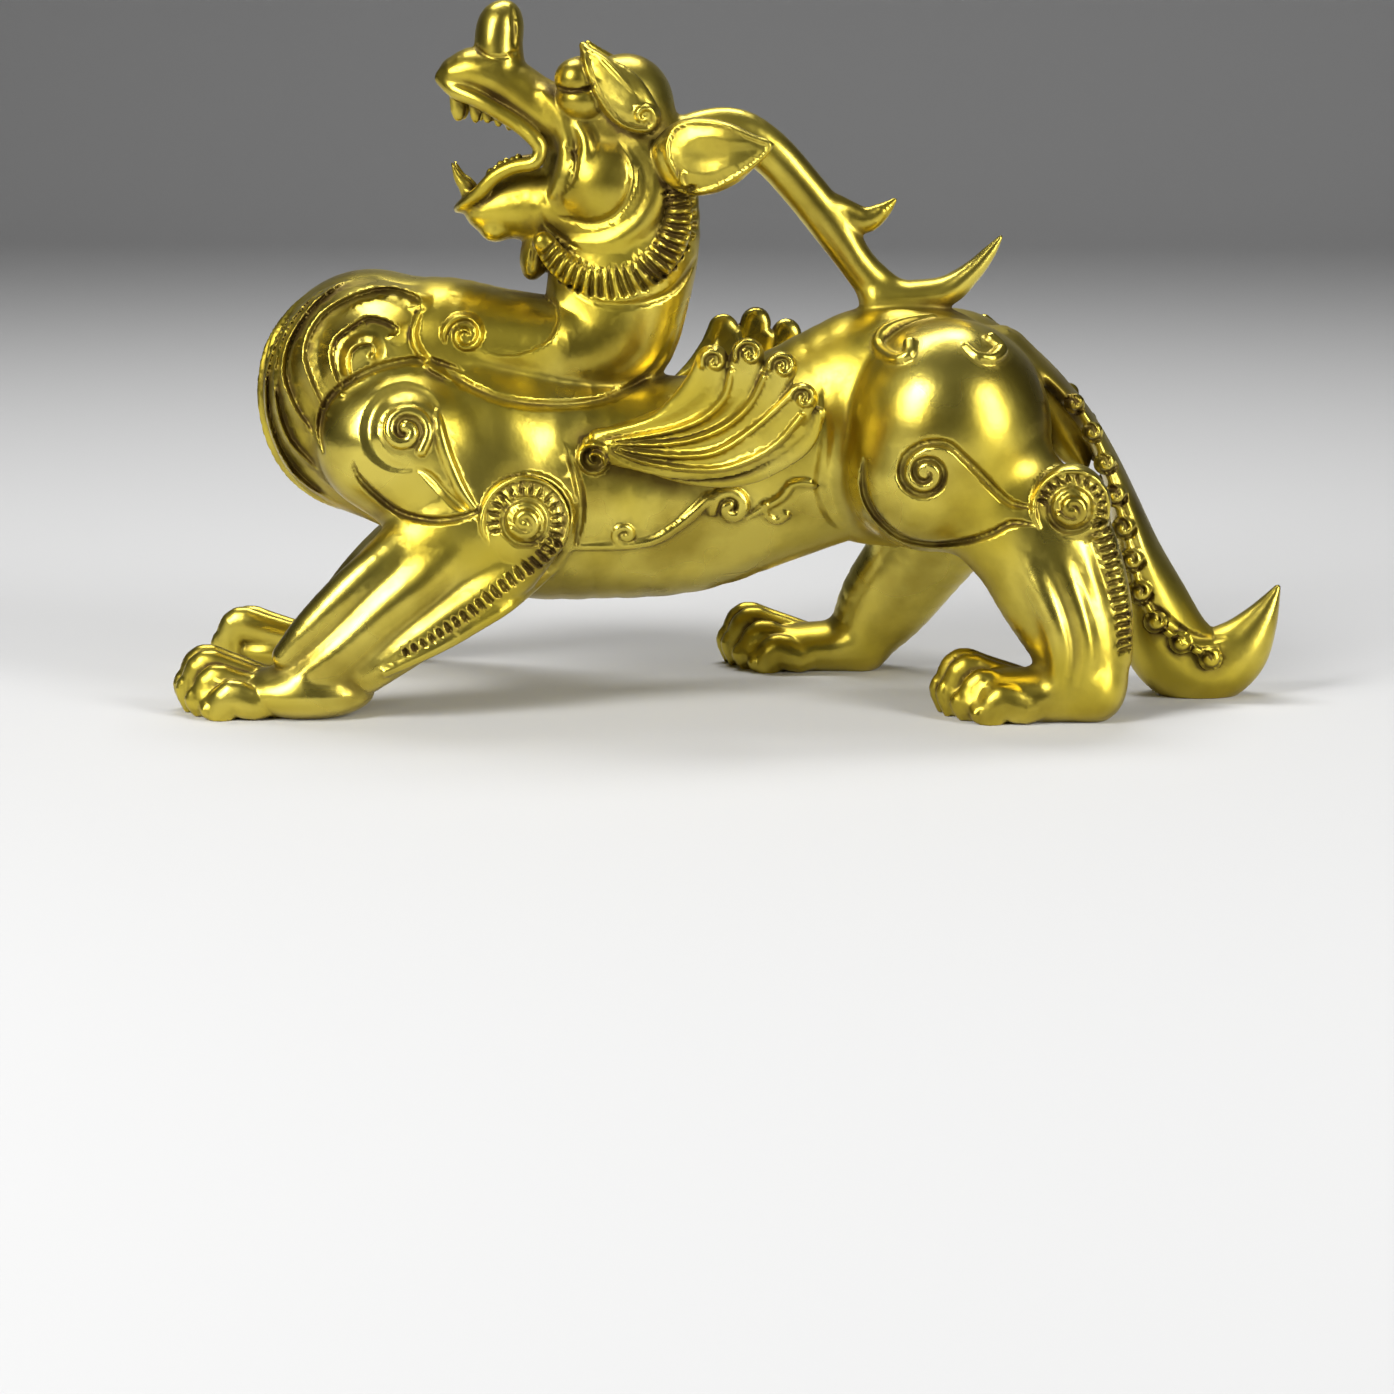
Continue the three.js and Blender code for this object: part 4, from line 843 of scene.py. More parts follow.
# %% Lines of the head
def carve_head():
    valley = [(-28.5, 139), (-25.5, 134.5), (-25, 129.5), (-28, 123), (-34.5, 119.5), (-45, 121)]
    carve(valley, 1.6, 0.8, "groove", beyond=2)
    carve([(-42, 138.5), (-39, 135.5), (-39.5, 130.5), (-42.5, 126.5)], 1, 0.6, "groove")
    carve([(-48, 122), (-47, 119), (-43, 115.5), (-38, 113)], 1.2, 0.8, "groove", beyond=1)
    carve([(-40.5, 103), (-31, 99.5), (-20.5, 100.5), (-14, 104), (-9, 112)], 1.4, 0.8, "groove")
    slit = [(-44.5, 152.8), (-40.5, 151.6), (-36, 152.2), (-34, 154)]
    carve(slit, 0.9, 0.8, "groove", ends=(0.1, 0.1))
    hem = [(-37.5, 162.5), (-36, 157), (-33.5, 151), (-29.5, 145.3), (-25.5, 142.8)]
    curl = spiral((-22, 145.6), 3.4, 0.6, -80, 1.05)
    carve(np.vstack([hem, curl]), 1.2, 1.1, ends=(0.1, 0.05), steps=3, beyond=1)
    carve([(-37, 162.5), (-32, 159.5), (-27.5, 155), (-23.5, 150.5)], 1.1, 0.7, beyond=1)
    carve([(-53.5, 161.5), (-58, 159.3), (-63, 161), (-65.5, 164)], 1, 0.5, "groove")
    carve([(-55.2, 172), (-54.8, 167.5), (-54.6, 162)], 0.9, 0.5, "groove")
    for x in (-50.8, -48.3):
        carve([(x + 1, 114.5), (x, 109.5), (x - 0.3, 105.5)], 0.9, 0.6, "groove")
    ear_rim = [
        (-13, 129), (-15.5, 134), (-16.5, 138), (-15, 142.5), (-10.5, 144.5),
        (-3, 144), (4.5, 141), (8.5, 139.5), (8, 137), (4, 133.5),
        (-2.5, 129.5), (-8, 127.5), (-12, 128.5), (-13, 131.5), (-11, 132.5),
    ]
    carve(ear_rim, 1.1, 0.8, ends=(0.05, 0.05), beyond=12)


carve_head()

# %% Lines of the chest and the neck
def carve_chest():
    # from the widest at the front to the small roll inside
    locks = (
        (5, [
            (-102, 50.5), (-110.5, 58), (-115.5, 69), (-116.5, 80), (-113.5, 91),
            (-107, 100.5), (-98.5, 107),
        ]),
        (4.5, [
            (-103.5, 59), (-110.5, 66.5), (-113.5, 76.5), (-113, 87.5), (-109, 96.5),
            (-101.5, 103.5), (-93, 106.5),
        ]),
        (4.5, [
            (-104, 68.5), (-108.5, 75), (-111.5, 82.5), (-111, 88.5), (-108.5, 94),
            (-103.5, 100.5), (-97, 105), (-90.5, 106.5), (-85, 106),
        ]),
        (4, [
            (-100, 73.5), (-103.5, 80.5), (-106, 88), (-104.5, 94), (-101, 98.5), (-95, 102),
            (-87.5, 104), (-81, 103), (-77.5, 101.5), (-77.5, 99.5), (-80.5, 99),
        ]),
        (3.5, [
            (-95.5, 78), (-98, 83.5), (-99, 88.5), (-98, 92), (-94.5, 95), (-90, 97.5),
            (-85, 96.5), (-82, 94.5), (-82.5, 92.5), (-85, 92),
        ]),
        (2.5, [
            (-93.5, 81.5), (-94.5, 85.5), (-94, 89), (-91.5, 91), (-88.5, 91), (-87.5, 88.5),
            (-89.5, 87),
        ]),
    )
    for half, line in locks:
        carve(line, half, 2, "lock", ends=(0.15, 0.12), beyond=9, soft=6)
    # seen from the front, in distance from the middle plane and height
    inner = [(2, 46), (6, 58), (7.5, 72), (6, 86), (2.5, 98)]
    outer = [(8, 48), (12, 60), (12.5, 74), (9.5, 90), (4, 101)]
    for line in (inner, outer):
        carve(line, 4, 1.4, "lock", ends=(0.2, 0.2), front=True, within=15, soft=6)
    carve(spiral((-66, 92.5), 5.4, 0.8, 200, -1.5), (1.4, 1.1), 1.6, ends=(0.1, 0.1), beyond=8)
    carve([(-75.5, 101), (-78, 96.5), (-78.5, 91.5), (-75, 86), (-69, 82)], 1.5, 1.6, beyond=8)
    band = [(-72, 85), (-64.5, 80.5), (-54.5, 77), (-42.5, 75.5)]
    band += [(-30, 77), (-19.5, 83.5), (-12.5, 96.5), (-10, 104)]
    carve(band, 1.5, 1, "groove", ends=(0.1, 0.1), beyond=6)
    mane_end = [(-45, 102), (-42.8, 97), (-44.5, 91.5), (-49.5, 88.2), (-56, 87), (-62, 88.5)]
    carve(mane_end, 5, 1.3, "lock", ends=(0.1, 0.3), beyond=5, soft=4)


carve_chest()

# %% Lines of the shoulder and the haunch
SHOULDER_CURL = (-79.3, 70.7)
HAUNCH_CURL = (47, 61.3)


def carve_shoulder():
    bag = [(-100, 64), (-101.5, 69.5), (-100, 76), (-95, 81), (-87, 85), (-76.5, 86.5), (-66.5, 84)]
    carve(bag, 1.4, 1.3, "groove", ends=(0.15, 0.15), beyond=18)
    stem = [(-71.8, 75.5), (-71.3, 71.5), (-70, 66.5), (-68, 61), (-65.5, 56), (-62.5, 52.2)]
    lay(stem, (0.5, 1.4, 1.6, 1.6, 1.4, 0.7), 0.1, 0.8)
    lay(spiral(SHOULDER_CURL, 6.3, 0.8, -50, 1.4)[::2], (1.3, 1.4, 1.8), 0.15, 0.6)
    carve(arc(SHOULDER_CURL, 9, 25, 285), 2.6, 1, "groove", ends=(0.3, 0.3), beyond=22)
    under = [(-76.5, 62), (-73, 59.5), (-70, 56), (-66.5, 52.8), (-63.5, 51)]
    carve(under, 1.6, 1.1, "groove", ends=(0.2, 0.15), beyond=24)
    leaf = [(-92.5, 63), (-91, 59), (-87.5, 55), (-81.5, 50.5), (-74, 49), (-67, 49.5), (-61, 51.5)]
    carve(leaf, 1.4, 1.4, "groove", ends=(0.15, 0.1), beyond=24)


def carve_haunch():
    curl = spiral(HAUNCH_CURL, 6, 0.8, 180, 1.6)[::-1]
    stem = [
        (42, 65), (45, 67.8), (48.5, 69), (52.5, 68.5), (56, 65.5),
        (60, 61.5), (64, 57), (68, 53.7), (74, 52.8),
    ]
    whole = np.vstack([curl, stem])
    carve(whole, (1.1, 1.5, 1.5), 1.5, "groove", ends=(0.05, 0.1), steps=2, beyond=24)
    leaf = [
        (32.3, 64), (32, 58), (33.5, 52.5), (37, 47.7), (42, 44), (49.5, 42.5),
        (57, 43.8), (63, 46.2), (68, 49), (73.5, 48.8),
    ]
    carve(leaf, 1.4, 1.4, "groove", ends=(0.15, 0.1), beyond=25)
    front_curl = [
        (49, 96.5), (43, 95.7), (38.5, 94.2), (35.8, 91.8),
        (36, 89.2), (39.3, 87.8), (42.8, 88.8), (43.2, 91.2),
    ]
    lay(front_curl, (0.8, 1.4, 1.6, 1.5, 1.9), 0.2, 0.6)
    rear_curl = [(56.8, 91.2), (59.5, 88.9), (63, 88.2), (65.3, 90), (63, 92.2)]
    lay(rear_curl, (1, 1.6, 1.9), 0.2, 0.6)


carve_shoulder()
carve_haunch()

# %% Lines of the wing and the flank
def carve_wing():
    """A feather is a channel between two thin ridges, and most ridges run into a curl at the tip."""
    carve(spiral((-33.5, 63), 4.6, 0.6, 60, 1.6), (1.3, 1), 1.4, ends=(0.1, 0.1), beyond=25)
    ridges = [
        [(-35.5, 67), (-30.5, 69.5), (-22.5, 72.5), (-15, 76), (-10, 80), (-7, 84.5), (-6.5, 87.5)],
        [(-31, 68), (-20, 70), (-12, 72), (-6, 75), (-1.5, 80), (0, 86)],
        [(-30.5, 67.5), (-19, 67.7), (-10, 69), (-1.5, 72.5), (4.5, 78), (8, 85)],
        [(-30.5, 67), (-22, 65.6), (-13, 65), (-4.5, 66), (2.5, 70), (8.5, 75), (14, 80.5)],
        [(-30.5, 66.5), (-22, 63.5), (-12, 62), (-2.5, 62), (5.5, 65), (11.5, 69), (17, 75.5)],
        [
            (-29.5, 65.5), (-21, 61.5), (-12, 59.5), (-1.5, 59),
            (7.5, 61), (15, 65), (19, 69), (21.5, 76),
        ],
    ]
    for upper, lower in zip(ridges, ridges[1:]):
        middle = (smooth(upper, 4)[::3][:7] + smooth(lower, 4)[::3][:7]) / 2
        carve(middle, (1.4, 2.8), 0.9, "groove", ends=(0.1, 0.2), beyond=20)
    for ridge in ridges[1:-1]:
        carve(ridge, (1, 1.3), 1.3, ends=(0.15, 0), beyond=20)
    # The upper and the lower edge of the wing are cords, with their depth at root, middle and tip.
    for edge, depths in ((ridges[0], (-28, -35, -41)), (ridges[-1], (-27, -36.5, -41.5))):
        depths = spread(depths, np.linspace(0, 1, len(edge)))
        limb([[x, y, z, 1.5, 1.5] for (x, z), y in zip(edge, depths)], 0.5, both=True)
    curls = ((-4, 88.5, 3.2, 200), (4.5, 90.5, 3.8, 200), (12.5, 87.5, 3.6, 190), (17.5, 80, 3.4, 180))
    for x, z, radius, start in curls:
        carve(spiral((x, z), radius, 0.3, start, -1.3), (1.2, 1), 1.3, ends=(0, 0.05), beyond=36)


def carve_flank():
    vine = [(-39.5, 41), (-32, 41), (-23.5, 41.5), (-18, 43), (-11.5, 47.5), (-6, 52.5)]
    lay(vine, (0.8, 1.2, 1.4, 1.6), 0, 0.8)
    lay(spiral((-26.5, 44), 2.8, 0.5, 230, -1)[::2], (1, 1.3), 0, 0.5)
    lay(spiral((-0.5, 50.5), 4.8, 0.6, 190, -1.25)[::2], (1.5, 1.7, 1.5), 0.1, 0.5)
    tendril = [(3.5, 48), (7, 50), (12, 53), (14.5, 56), (18, 56.5), (21, 55.5)]
    lay(tendril, (0.8, 1.3, 0.9), 0, 0.6)
    lay([(8, 51), (8.5, 48), (11, 46.8), (13, 48.3)], (0.8, 1.2), 0, 0.6)
    carve([(22, 78.5), (23, 69), (21.5, 55.5), (24, 47.5), (27, 43.5)], 2.2, 0.8, "groove", beyond=12)
    carve([(-41, 66), (-38, 58), (-37, 50.5), (-38.5, 41.5)], 1.5, 1, "groove", beyond=18)


carve_wing()
carve_flank()
print(len(pixiu.strokes), "lines are drawn by hand")

# %% [markdown]
# ## Rows of carved hair
#
# Some lines repeat in a row: ribs round the collar, ribs on the snails, combs of short hair down
# the legs, and curls down the edge of the tail. Geometry nodes lay each row out. A guide line is
# sampled at equal steps, and a motif is set on every sample, turned to the line and made larger or
# smaller along the row. The tree gives plain lines, which are carved like the ones drawn one by one.

# %% The tree that lays out a row
ROW_INPUTS = {
    "Guide": "Geometry",
    "Motif": "Object",
    "Count": "Int",
    "First size": "Float",
    "Last size": "Float",
    "Turn": "Float",
    "Metal": "Material",
}


def wire(name, line):
    """A line in the side view as a mesh of edges."""
    mesh = bpy.data.meshes.new(name)
    points = [(x, 0, z) for x, z in line]
    mesh.from_pydata(points, [(i, i + 1) for i in range(len(points) - 1)], [])
    made = bpy.data.objects.new(name, mesh)
    bpy.context.scene.collection.objects.link(made)
    return made


def row_tree():
    tree = bpy.data.node_groups.new("row along a line", "GeometryNodeTree")
    inputs = {}
    for name, kind in ROW_INPUTS.items():
        kind = "NodeSocket" + kind
        inputs[name] = tree.interface.new_socket(name, in_out="INPUT", socket_type=kind)
    tree.interface.new_socket("Row", in_out="OUTPUT", socket_type="NodeSocketGeometry")
    given = tree.nodes.new("NodeGroupInput")
    out = tree.nodes.new("NodeGroupOutput")

    def add(kind, **links):
        node = tree.nodes.new(kind)
        for name, source in links.items():
            tree.links.new(source, node.inputs[name.replace("_", " ")])
        return node

    curve = add("GeometryNodeMeshToCurve", Mesh=given.outputs["Guide"])
    samples = add("GeometryNodeResampleCurve", Curve=curve.outputs[0], Count=given.outputs["Count"])
    motif = add("GeometryNodeObjectInfo", Object=given.outputs["Motif"])
    turned = add("ShaderNodeVectorRotate", Angle=given.outputs["Turn"])
    turned.inputs["Axis"].default_value = (0, 1, 0)
    tree.links.new(add("GeometryNodeInputTangent").outputs[0], turned.inputs["Vector"])
    aimed = add("FunctionNodeAlignRotationToVector", Vector=turned.outputs[0])
    aimed.axis = "X"
    aimed.pivot_axis = "Y"
    ends = {"To_Min": given.outputs["First size"], "To_Max": given.outputs["Last size"]}
    size = add("ShaderNodeMapRange", **ends)
    tree.links.new(add("GeometryNodeSplineParameter").outputs["Factor"], size.inputs["Value"])
    row = add(
        "GeometryNodeInstanceOnPoints",
        Points=samples.outputs[0],
        Instance=motif.outputs["Geometry"],
        Rotation=aimed.outputs[0],
        Scale=size.outputs["Result"],
    )
    real = add("GeometryNodeRealizeInstances", Geometry=row.outputs[0])
    metal = add("GeometryNodeSetMaterial", Geometry=real.outputs[0], Material=given.outputs["Metal"])
    tree.links.new(metal.outputs[0], out.inputs[0])
    return tree, {name: socket.identifier for name, socket in inputs.items()}


row_nodes, row_sockets = row_tree()
brass = bpy.data.materials.new("brass")


def row_of(motif, guide, count, first, last, turn):
    """The lines of a row, one array of points for each copy of the motif."""
    guide = wire("guide", guide)
    motif = wire("motif", motif)
    modifier = guide.modifiers.new("row", "NODES")
    modifier.node_group = row_nodes
    values = {"Motif": motif, "Count": count, "First size": float(first), "Last size": float(last)}
    values.update({"Turn": math.radians(turn), "Metal": brass})
    for name, value in values.items():
        modifier[row_sockets[name]] = value
    seen = guide.evaluated_get(bpy.context.evaluated_depsgraph_get())
    made = bpy.data.meshes.new_from_object(seen)
    flat = np.empty(3 * len(made.vertices))
    made.vertices.foreach_get("co", flat)
    points = flat.reshape(count, -1, 3)[:, :, [0, 2]]
    guide.modifiers.remove(modifier)
    for scratch in (guide, motif):
        bpy.data.objects.remove(scratch)
    bpy.data.meshes.remove(made)
    return points


# %% [markdown]
# A rib is a straight cut that leans a little. On the collar and on the snails the guide is an arc
# and the ribs point outwards. A rib of the collar is deepest at its outer end, where the chisel
# started. On the combs the guide runs down the edge of the leg, and each hair is a short cut across
# it. A curl of the tail is a small disc with a spiral cut into it, and a cord joins the discs.

# %% Ribs, combs and curls
RIB = [(0, 0), (0.5, 0.03), (1, 0.1)]
COMB = [(-0.5, 0), (-0.3, 0), (0.3, 0), (0.5, 0)]
CURL = spiral((0, 0), 1.05, 0.1, 75, -1.2)


def carve_rows():
    """Carves every row, and gives how many copies each one has."""
    ribs = row_of(RIB, arc(COLLAR, 14, -148, 16), 23, 7, 8, 90)
    for rib in ribs:
        carve(rib, (0.8, 1.1), 1.5, "groove", ends=(0.2, 0), steps=1, beyond=2)
    elbow = row_of(RIB, arc(ELBOW, 5.6, -60, 200), 16, 4, 4, 90)
    for rib in elbow:
        carve(rib, (0.8, 1), 1.4, "groove", ends=(0.15, 0.1), steps=1, beyond=24)
    hock = row_of(RIB, arc(HOCK, 4.8, -30, 170), 12, 3.8, 3.8, 90)
    for rib in hock:
        carve(rib, (0.8, 1), 1.4, "groove", ends=(0.15, 0.1), steps=1, beyond=24, left_only=True)
    fore_edge = [(-43, 44), (-45.5, 41), (-49, 38), (-53, 35.3), (-58.5, 31), (-64, 26.8)]
    fore_edge += [(-72, 21.5), (-79, 17.5)]
    fore = row_of(COMB, smooth(fore_edge, 6), 20, 5, 2.4, 90)
    for hair in fore:
        carve(hair, (0.9, 0.8), 1.2, "groove", ends=(0.1, 0.1), steps=1, beyond=22)
    fin_line = [(89.3, 49), (91.8, 41.5), (93.8, 33.5), (95.2, 26), (96, 18)]
    rear = row_of(COMB, smooth(fin_line, 4), 16, 4.6, 4.2, -90)
    for hair in rear:
        carve(hair, 0.85, 1.2, "groove", ends=(0.1, 0.1), steps=1, beyond=20, left_only=True)
    edge = [(84, 75.5), (88, 69.5), (91, 63), (93.5, 56), (95.5, 49), (98.5, 38.5), (101, 29)]
    edge += [(104.5, 22), (109.5, 17), (119, 11.5)]
    curls = row_of(CURL, smooth(edge, 4), 10, 2.8, 3.5, 0)
    limb([[x + 0.4, -11.7, z, 1.1, 1.4] for x, z in edge], 0.5, both=True)
    for curl in curls:
        size = np.ptp(curl[:, 0]) / 2
        x, z = curl.mean(axis=0)
        ball([x, -12.2, z], [1.15 * size, 2.2, 1.15 * size], 0.5, both=True)
        carve(curl, (1, 0.9), 1, "groove", ends=(0.05, 0.05), steps=1, beyond=6)
    return [len(row) for row in (ribs, elbow, hock, fore, rear, curls)]


print("copies in each row:", carve_rows())

# %% Around the rows
# The spiral in the middle of each snail, the moat and the rim round it, the cord beside the comb of
# the foreleg and a hollow where the tail turns up are drawn one by one.
def carve_snail(centre, radius, left_only=False):
    place = {"beyond": 24, "left_only": left_only}
    moat = arc(centre, 5.6, 0, 360)
    carve(moat, 1.2, 1, "groove", ends=(0, 0), **place)
    lay(spiral(centre, 3.4, 0.6, -150, 1.2)[::2], (1.2, 1.6), 0.1, 0.5, both=not left_only)
    rim = arc(centre, radius, -70, 215)
    carve(rim, 1.3, 1.1, ends=(0.12, 0.12), **place)


carve_snail(ELBOW, 10.6)
carve_snail(HOCK, 9.2, left_only=True)
leg_cord = [
    (-39.5, 47), (-41, 41), (-46.5, 34), (-54.5, 28.3),
    (-62, 23.8), (-68.5, 20), (-76, 16.2), (-84, 12.5),
]
lay(leg_cord, (1.5, 1.9, 1.9, 1.2), 0, 1)
tail_hollow = [(104, 25.5), (109, 20.5), (114, 16.8), (119, 15), (124, 15.5)]
carve(tail_hollow, 1.7, 1, "groove", ends=(0.2, 0.35), beyond=3)
print(len(pixiu.strokes), "lines with the rows")
clock("the casting is drawn")

# %% [markdown]
# ## From the field to a mesh
#
# The skin is where the field is zero. The field is read on a fine grid, but only in blocks that the
# skin can cross, and a volume tool turns the grid into a mesh. The mesh is thinned, most where it is
# flat, and then every vertex slides along the slope of the field onto the true skin, which brings
# the carved edges back. Normals are the slope of the field itself, so a polished curve has no facets.

# %% Reading the field
CELL = 0.64  # mm
BLOCK = 5  # cells
MOST_TRIANGLES = 198000
CHUNK = 20000  # points for one worker at a time
MARGIN = 4  # mm of air around the casting
STROKE_ROOM = 1.5  # mm that strokes can move the skin


def in_parallel(read, points):
    parts = [points[i : i + CHUNK] for i in range(0, len(points), CHUNK)]
    with ThreadPoolExecutor(4) as workers:
        return np.concatenate(list(workers.map(read, parts)))


def counted(shape):
    """Every cell of a grid, one row of three whole numbers each."""
    axes = np.meshgrid(*[np.arange(k) for k in shape], indexing="ij")
    return np.stack(axes, axis=-1).reshape(-1, 3)


def read_grid(casting):
    low = np.min([shape.low for shape, *_ in casting.shapes], axis=0) - MARGIN
    high = np.max([shape.high for shape, *_ in casting.shapes], axis=0) + MARGIN
    half_width = max(-low[1], high[1])
    low[1] = -half_width
    high[1] = half_width
    size = CELL * BLOCK
    count = np.ceil((high - low) / size).astype(int)
    blocks = counted(count)
    coarse = in_parallel(lambda p: casting.field(p, 12), low + (blocks + 0.5) * size)
    near = blocks[np.abs(coarse) < size * 1.4 + STROKE_ROOM]
    sign = np.where(coarse.reshape(count) < 0, -FAR, FAR)
    for axis in range(3):
        sign = np.repeat(sign, BLOCK, axis)
    grid = sign.astype(np.float32)
    cells = (near[:, None] * BLOCK + counted((BLOCK, BLOCK, BLOCK))).reshape(-1, 3)
    places = low + cells * CELL
    form = in_parallel(lambda p: casting.form(p, 2), places)
    grid[cells[:, 0], cells[:, 1], cells[:, 2]] = form
    casting.start = low
    casting.cell = CELL
    casting.turns = {axis: np.gradient(grid, CELL, axis=axis) for axis in (0, 1)}
    both = np.hstack([places, form[:, None]])
    carved = in_parallel(lambda p: casting.carved(p[:, :3], p[:, 3].copy()), both)
    grid[cells[:, 0], cells[:, 1], cells[:, 2]] = carved
    return grid, low


grid, grid_start = read_grid(pixiu)
clock(f"the grid has {grid.size} cells")

# %% The mesh
def skin_of(grid, start):
    volume = openvdb.FloatGrid(background=FAR)
    volume.copyFromArray(grid)
    volume.transform = openvdb.createLinearTransform(voxelSize=CELL)
    points, triangles, quads = volume.convertToPolygons(isovalue=0, adaptivity=0)
    points = np.asarray(points, float) + start
    faces = np.vstack([quads[:, [0, 1, 2]], quads[:, [0, 2, 3]]])
    if len(triangles):
        faces = np.vstack([faces, triangles])
    a, b, c = (points[faces[:, k]] for k in range(3))
    if (a * np.cross(b, c)).sum() < 0:
        faces = faces[:, ::-1]
    return points, faces


def thinned(points, faces, most):
    mesh = bpy.data.meshes.new("skin")
    mesh.from_pydata(points, [], faces)
    scratch = bpy.data.objects.new("skin", mesh)
    bpy.context.scene.collection.objects.link(scratch)
    modifier = scratch.modifiers.new("thin", "DECIMATE")
    modifier.ratio = min(1, most / len(faces))
    modifier.use_collapse_triangulate = True
    seen = scratch.evaluated_get(bpy.context.evaluated_depsgraph_get())
    made = bpy.data.meshes.new_from_object(seen)
    bpy.data.objects.remove(scratch)
    points = np.empty(3 * len(made.vertices))
    made.vertices.foreach_get("co", points)
    faces = np.empty(3 * len(made.polygons), int)
    made.polygons.foreach_get("vertices", faces)
    bpy.data.meshes.remove(made)
    return points.reshape(-1, 3), faces.reshape(-1, 3)


LONGEST_SLIDE = 0.5  # mm
FLATTEST = 0.05


def onto_skin(points):
    points = points.copy()
    for _ in range(2):
        slope = pixiu.slope(points)
        steep = np.maximum((slope**2).sum(axis=1), FLATTEST)
        step = np.clip(pixiu.field(points) / steep, -LONGEST_SLIDE, LONGEST_SLIDE)
        points -= step[:, None] * slope
    return points


skin, faces = skin_of(grid, grid_start)
clock(f"the skin has {len(faces)} triangles")
skin, faces = thinned(skin, faces, MOST_TRIANGLES)
skin = in_parallel(onto_skin, skin)
slopes = in_parallel(pixiu.slope, skin)
normals = slopes / np.maximum(np.linalg.norm(slopes, axis=1), 1e-9)[:, None]
clock(f"thinned to {len(faces)} triangles")

# %% [markdown]
# ## Where the metal stays dark
#
# Polishing reaches the high places. Brown stays in the lines and where forms meet. A point lies in a
# hollow if a step outwards along its normal brings it nearer to some other metal than the length of
# the step. Two steps are read: a short one finds the carved lines, a long one finds the places
# between the limbs. The share is kept on the mesh, for the material to read.

# %% Hollows
LINE_STEP = 1.6  # mm
CORNER_STEP = 7


def hollow_share(reach):
    def read(both):
        points = both[:, :3] + reach * both[:, 3:]
        return np.clip(1 - pixiu.field(points, reach + 2) / reach, 0, 1)

    return in_parallel(read, np.hstack([skin, normals]))


lines = hollow_share(LINE_STEP)
corners = hollow_share(CORNER_STEP)
print("share of the skin in lines", round(float((lines > 0.3).mean()), 3))
print("share of the skin in corners", round(float((corners > 0.4).mean()), 3))
clock("hollows are known")

# %% The piece
# The frame's origin is under the middle of the casting's box, so the mesh is moved there.
middle = (skin.min(axis=0) + skin.max(axis=0)) / 2
middle[2] = 0
print("the middle of the casting was at", middle.round(2), "mm")
mesh = bpy.data.meshes.new("pixiu_casting")
mesh.from_pydata((skin - middle) * MM, [], faces)
mesh.validate()
mesh.polygons.foreach_set("use_smooth", np.ones(len(mesh.polygons), bool))
mesh.normals_split_custom_set_from_vertices(normals)
for name, share in (("lines", lines), ("corners", corners)):
    layer = mesh.attributes.new(name, "FLOAT", "POINT")
    layer.data.foreach_set("value", share.astype(np.float32))
casting = bpy.data.objects.new("pixiu_casting", mesh)
bpy.context.scene.collection.objects.link(casting)
mesh.materials.append(brass)
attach(casting, "root")
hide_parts("pixiu")

# %% [markdown]
# ## Brass
#
# Polished brass is a mirror with a warm colour, a little blurred by fine scratches. The blur varies
# slowly over the surface, where the buffing wheel pressed more or less, and here and there the
# colour has dulled. In the hollows a thin brown skin covers the metal: darker, rougher and less
# metallic. The cast surface is never quite even, so a faint bump with two sizes moves the
# reflections.

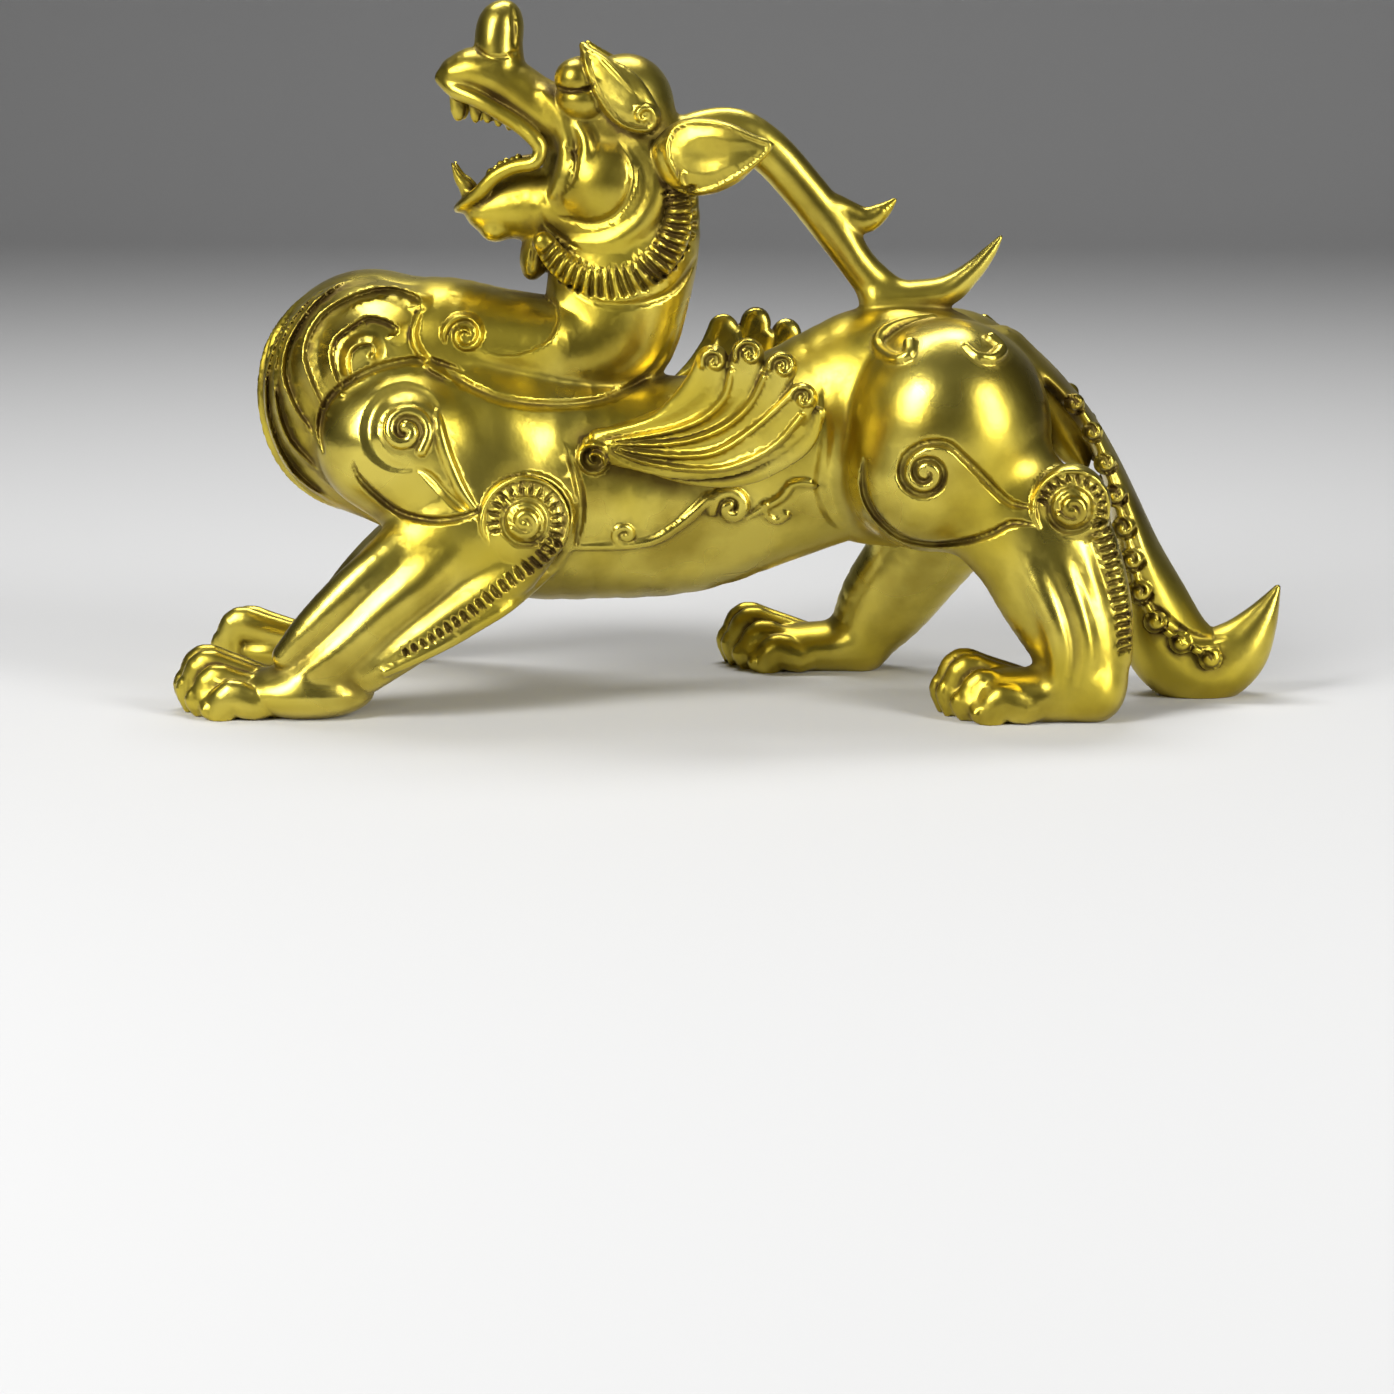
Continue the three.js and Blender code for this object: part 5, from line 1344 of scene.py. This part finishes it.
# %% The brass
def brass_nodes(material):
    material.use_nodes = True
    tree = material.node_tree
    shader = tree.nodes["Principled BSDF"]

    def add(kind, **links):
        node = tree.nodes.new(kind)
        for name, source in links.items():
            tree.links.new(source, node.inputs[name.replace("_", " ")])
        return node

    def noise(scale, detail):
        node = add("ShaderNodeTexNoise", Vector=place)
        node.inputs["Scale"].default_value = scale
        node.inputs["Detail"].default_value = detail
        return node.outputs["Fac"]

    def ranged(source, low, high, to_low, to_high):
        node = add("ShaderNodeMapRange", Value=source)
        ends = {"From Min": low, "From Max": high, "To Min": to_low, "To Max": to_high}
        for name, value in ends.items():
            node.inputs[name].default_value = value
        return node.outputs["Result"]

    def blend(factor, first, second):
        node = add("ShaderNodeMix")
        node.data_type = "RGBA"
        tree.links.new(factor, node.inputs["Factor"])
        for source, socket in ((first, node.inputs[6]), (second, node.inputs[7])):
            if isinstance(source, tuple):
                socket.default_value = (*source, 1)
            else:
                tree.links.new(source, socket)
        return node.outputs[2]

    def share(name):
        node = add("ShaderNodeAttribute")
        node.attribute_name = name
        return node.outputs["Fac"]

    def joined(operation, first, second):
        node = add("ShaderNodeMath")
        node.operation = operation
        tree.links.new(first, node.inputs[0])
        tree.links.new(second, node.inputs[1])
        return node.outputs[0]

    def bump(height, strength, distance, **links):
        node = add("ShaderNodeBump", Height=height, **links)
        node.inputs["Strength"].default_value = strength
        node.inputs["Distance"].default_value = distance
        return node.outputs[0]

    place = add("ShaderNodeTexCoord").outputs["Object"]
    slow = noise(28, 3)
    cloudy = noise(90, 4)
    fine = noise(900, 2)
    in_line = ranged(share("lines"), 0.06, 0.5, 0, 1)
    in_corner = ranged(share("corners"), 0.2, 0.85, 0, 0.85)
    most = joined("MAXIMUM", in_line, in_corner)
    brown = joined("MULTIPLY", most, ranged(cloudy, 0.3, 0.6, 0.55, 1))
    warm = blend(ranged(slow, 0.4, 0.62, 0, 1), POLISHED, POLISHED_WARM)
    warm = blend(ranged(noise(45, 6), 0.44, 0.64, 0, 0.68), warm, DULLED)
    tree.links.new(blend(brown, warm, PATINA), shader.inputs["Base Color"])
    rough = ranged(slow, 0.35, 0.65, 0.25, 0.36)
    rougher = add("ShaderNodeMix")
    tree.links.new(brown, rougher.inputs["Factor"])
    tree.links.new(rough, rougher.inputs[2])
    rougher.inputs[3].default_value = PATINA_ROUGHNESS
    tree.links.new(rougher.outputs[0], shader.inputs["Roughness"])
    tree.links.new(ranged(brown, 0, 1, 1, 0.75), shader.inputs["Metallic"])
    waves = bump(cloudy, 0.12, 0.002)
    grain = bump(fine, 0.08, 0.0002, Normal=waves)
    tree.links.new(grain, shader.inputs["Normal"])


POLISHED = (0.7, 0.575, 0.105)
POLISHED_WARM = (0.58, 0.455, 0.05)
DULLED = (0.3, 0.215, 0.022)
PATINA = (0.1, 0.062, 0.01)
PATINA_ROUGHNESS = 0.55
brass_nodes(brass)
clock("the brass is made")

# %% [markdown]
# ## Floor and light
#
# A pale floor that runs up into a pale wall has no edge to distract. Polished metal shows what
# stands around it, so the light matters more than the colour: soft boxes on both sides of the camera
# and one above give broad pale shapes, and the dark room between them gives the deep olive ones.

# %% Floor
def sweep(width, front, back, bend, height, material):
    """A floor that bends up into a wall, as one smooth sheet."""
    profile = [(front, 0), (back, 0)]
    for angle in np.linspace(0, math.pi / 2, 17)[1:]:
        profile.append((back + bend * math.sin(angle), bend * (1 - math.cos(angle))))
    profile.append((back + bend, height))
    points = [(x, y, z) for x in (-width / 2, width / 2) for y, z in profile]
    n = len(profile)
    quads = [(i, i + n, i + n + 1, i + 1) for i in range(n - 1)]
    mesh = bpy.data.meshes.new("backdrop")
    mesh.from_pydata(points, [], quads)
    mesh.polygons.foreach_set("use_smooth", np.ones(len(mesh.polygons), bool))
    mesh.materials.append(material)
    made = bpy.data.objects.new("backdrop", mesh)
    bpy.context.scene.collection.objects.link(made)
    return made


PAPER = (0.56, 0.56, 0.56, 1)
paper = bpy.data.materials.new("pale paper")
paper.use_nodes = True
paper_shader = paper.node_tree.nodes["Principled BSDF"]
paper_shader.inputs["Base Color"].default_value = PAPER
paper_shader.inputs["Roughness"].default_value = 0.85
backdrop = sweep(9, -3, 1.6, 0.8, 3.5, paper)
backdrop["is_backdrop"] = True

# %% Lights
LIT_AT = Vector((0, 0, 0.08))


def soft_box(name, place, width, height, watts):
    light = bpy.data.lights.new(name, "AREA")
    light.shape = "RECTANGLE"
    light.size = width
    light.size_y = height
    light.energy = watts
    made = bpy.data.objects.new(name, light)
    made.location = place
    made.rotation_euler = (LIT_AT - Vector(place)).to_track_quat("-Z", "Y").to_euler()
    bpy.context.scene.collection.objects.link(made)


soft_box("left box", (-0.75, -0.75, 0.75), 0.45, 0.75, 17)
soft_box("right box", (0.9, -0.6, 0.5), 0.3, 0.75, 11.5)
soft_box("top box", (-0.1, 0.5, 1.1), 0.8, 0.3, 9)

# %% The room
ROOM_DARK = (0.03, 0.03, 0.03, 1)
ROOM_PALE = (0.16, 0.16, 0.16, 1)
ROOM_STRENGTH = 0.6


def dark_room():
    """Dark low down, and a little paler towards the ceiling."""
    world = bpy.data.worlds.new("room")
    bpy.context.scene.world = world
    world.use_nodes = True
    tree = world.node_tree
    background = tree.nodes["Background"]
    heading = tree.nodes.new("ShaderNodeTexCoord")
    parts = tree.nodes.new("ShaderNodeSeparateXYZ")
    ramp = tree.nodes.new("ShaderNodeValToRGB")
    tree.links.new(heading.outputs["Generated"], parts.inputs[0])
    tree.links.new(parts.outputs["Z"], ramp.inputs["Fac"])
    ramp.color_ramp.elements[0].position = 0.05
    ramp.color_ramp.elements[0].color = ROOM_DARK
    ramp.color_ramp.elements[1].position = 0.9
    ramp.color_ramp.elements[1].color = ROOM_PALE
    tree.links.new(ramp.outputs[0], background.inputs[0])
    background.inputs[1].default_value = ROOM_STRENGTH


dark_room()
bpy.context.scene.view_settings.view_transform = "Standard"

# %% [markdown]
# ## Finish
#
# The box of the picture's own model is compared with the box of the solid, and the difference is
# printed in mm.

# %% Sizes and end
model_box = [list(corner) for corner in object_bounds()]
gaps = [round(1000 * (m - c), 2) for a, b in zip(model_box, cad_box) for m, c in zip(a, b)]
print("the model's box less the solid's, in mm:", gaps)
clock("done")
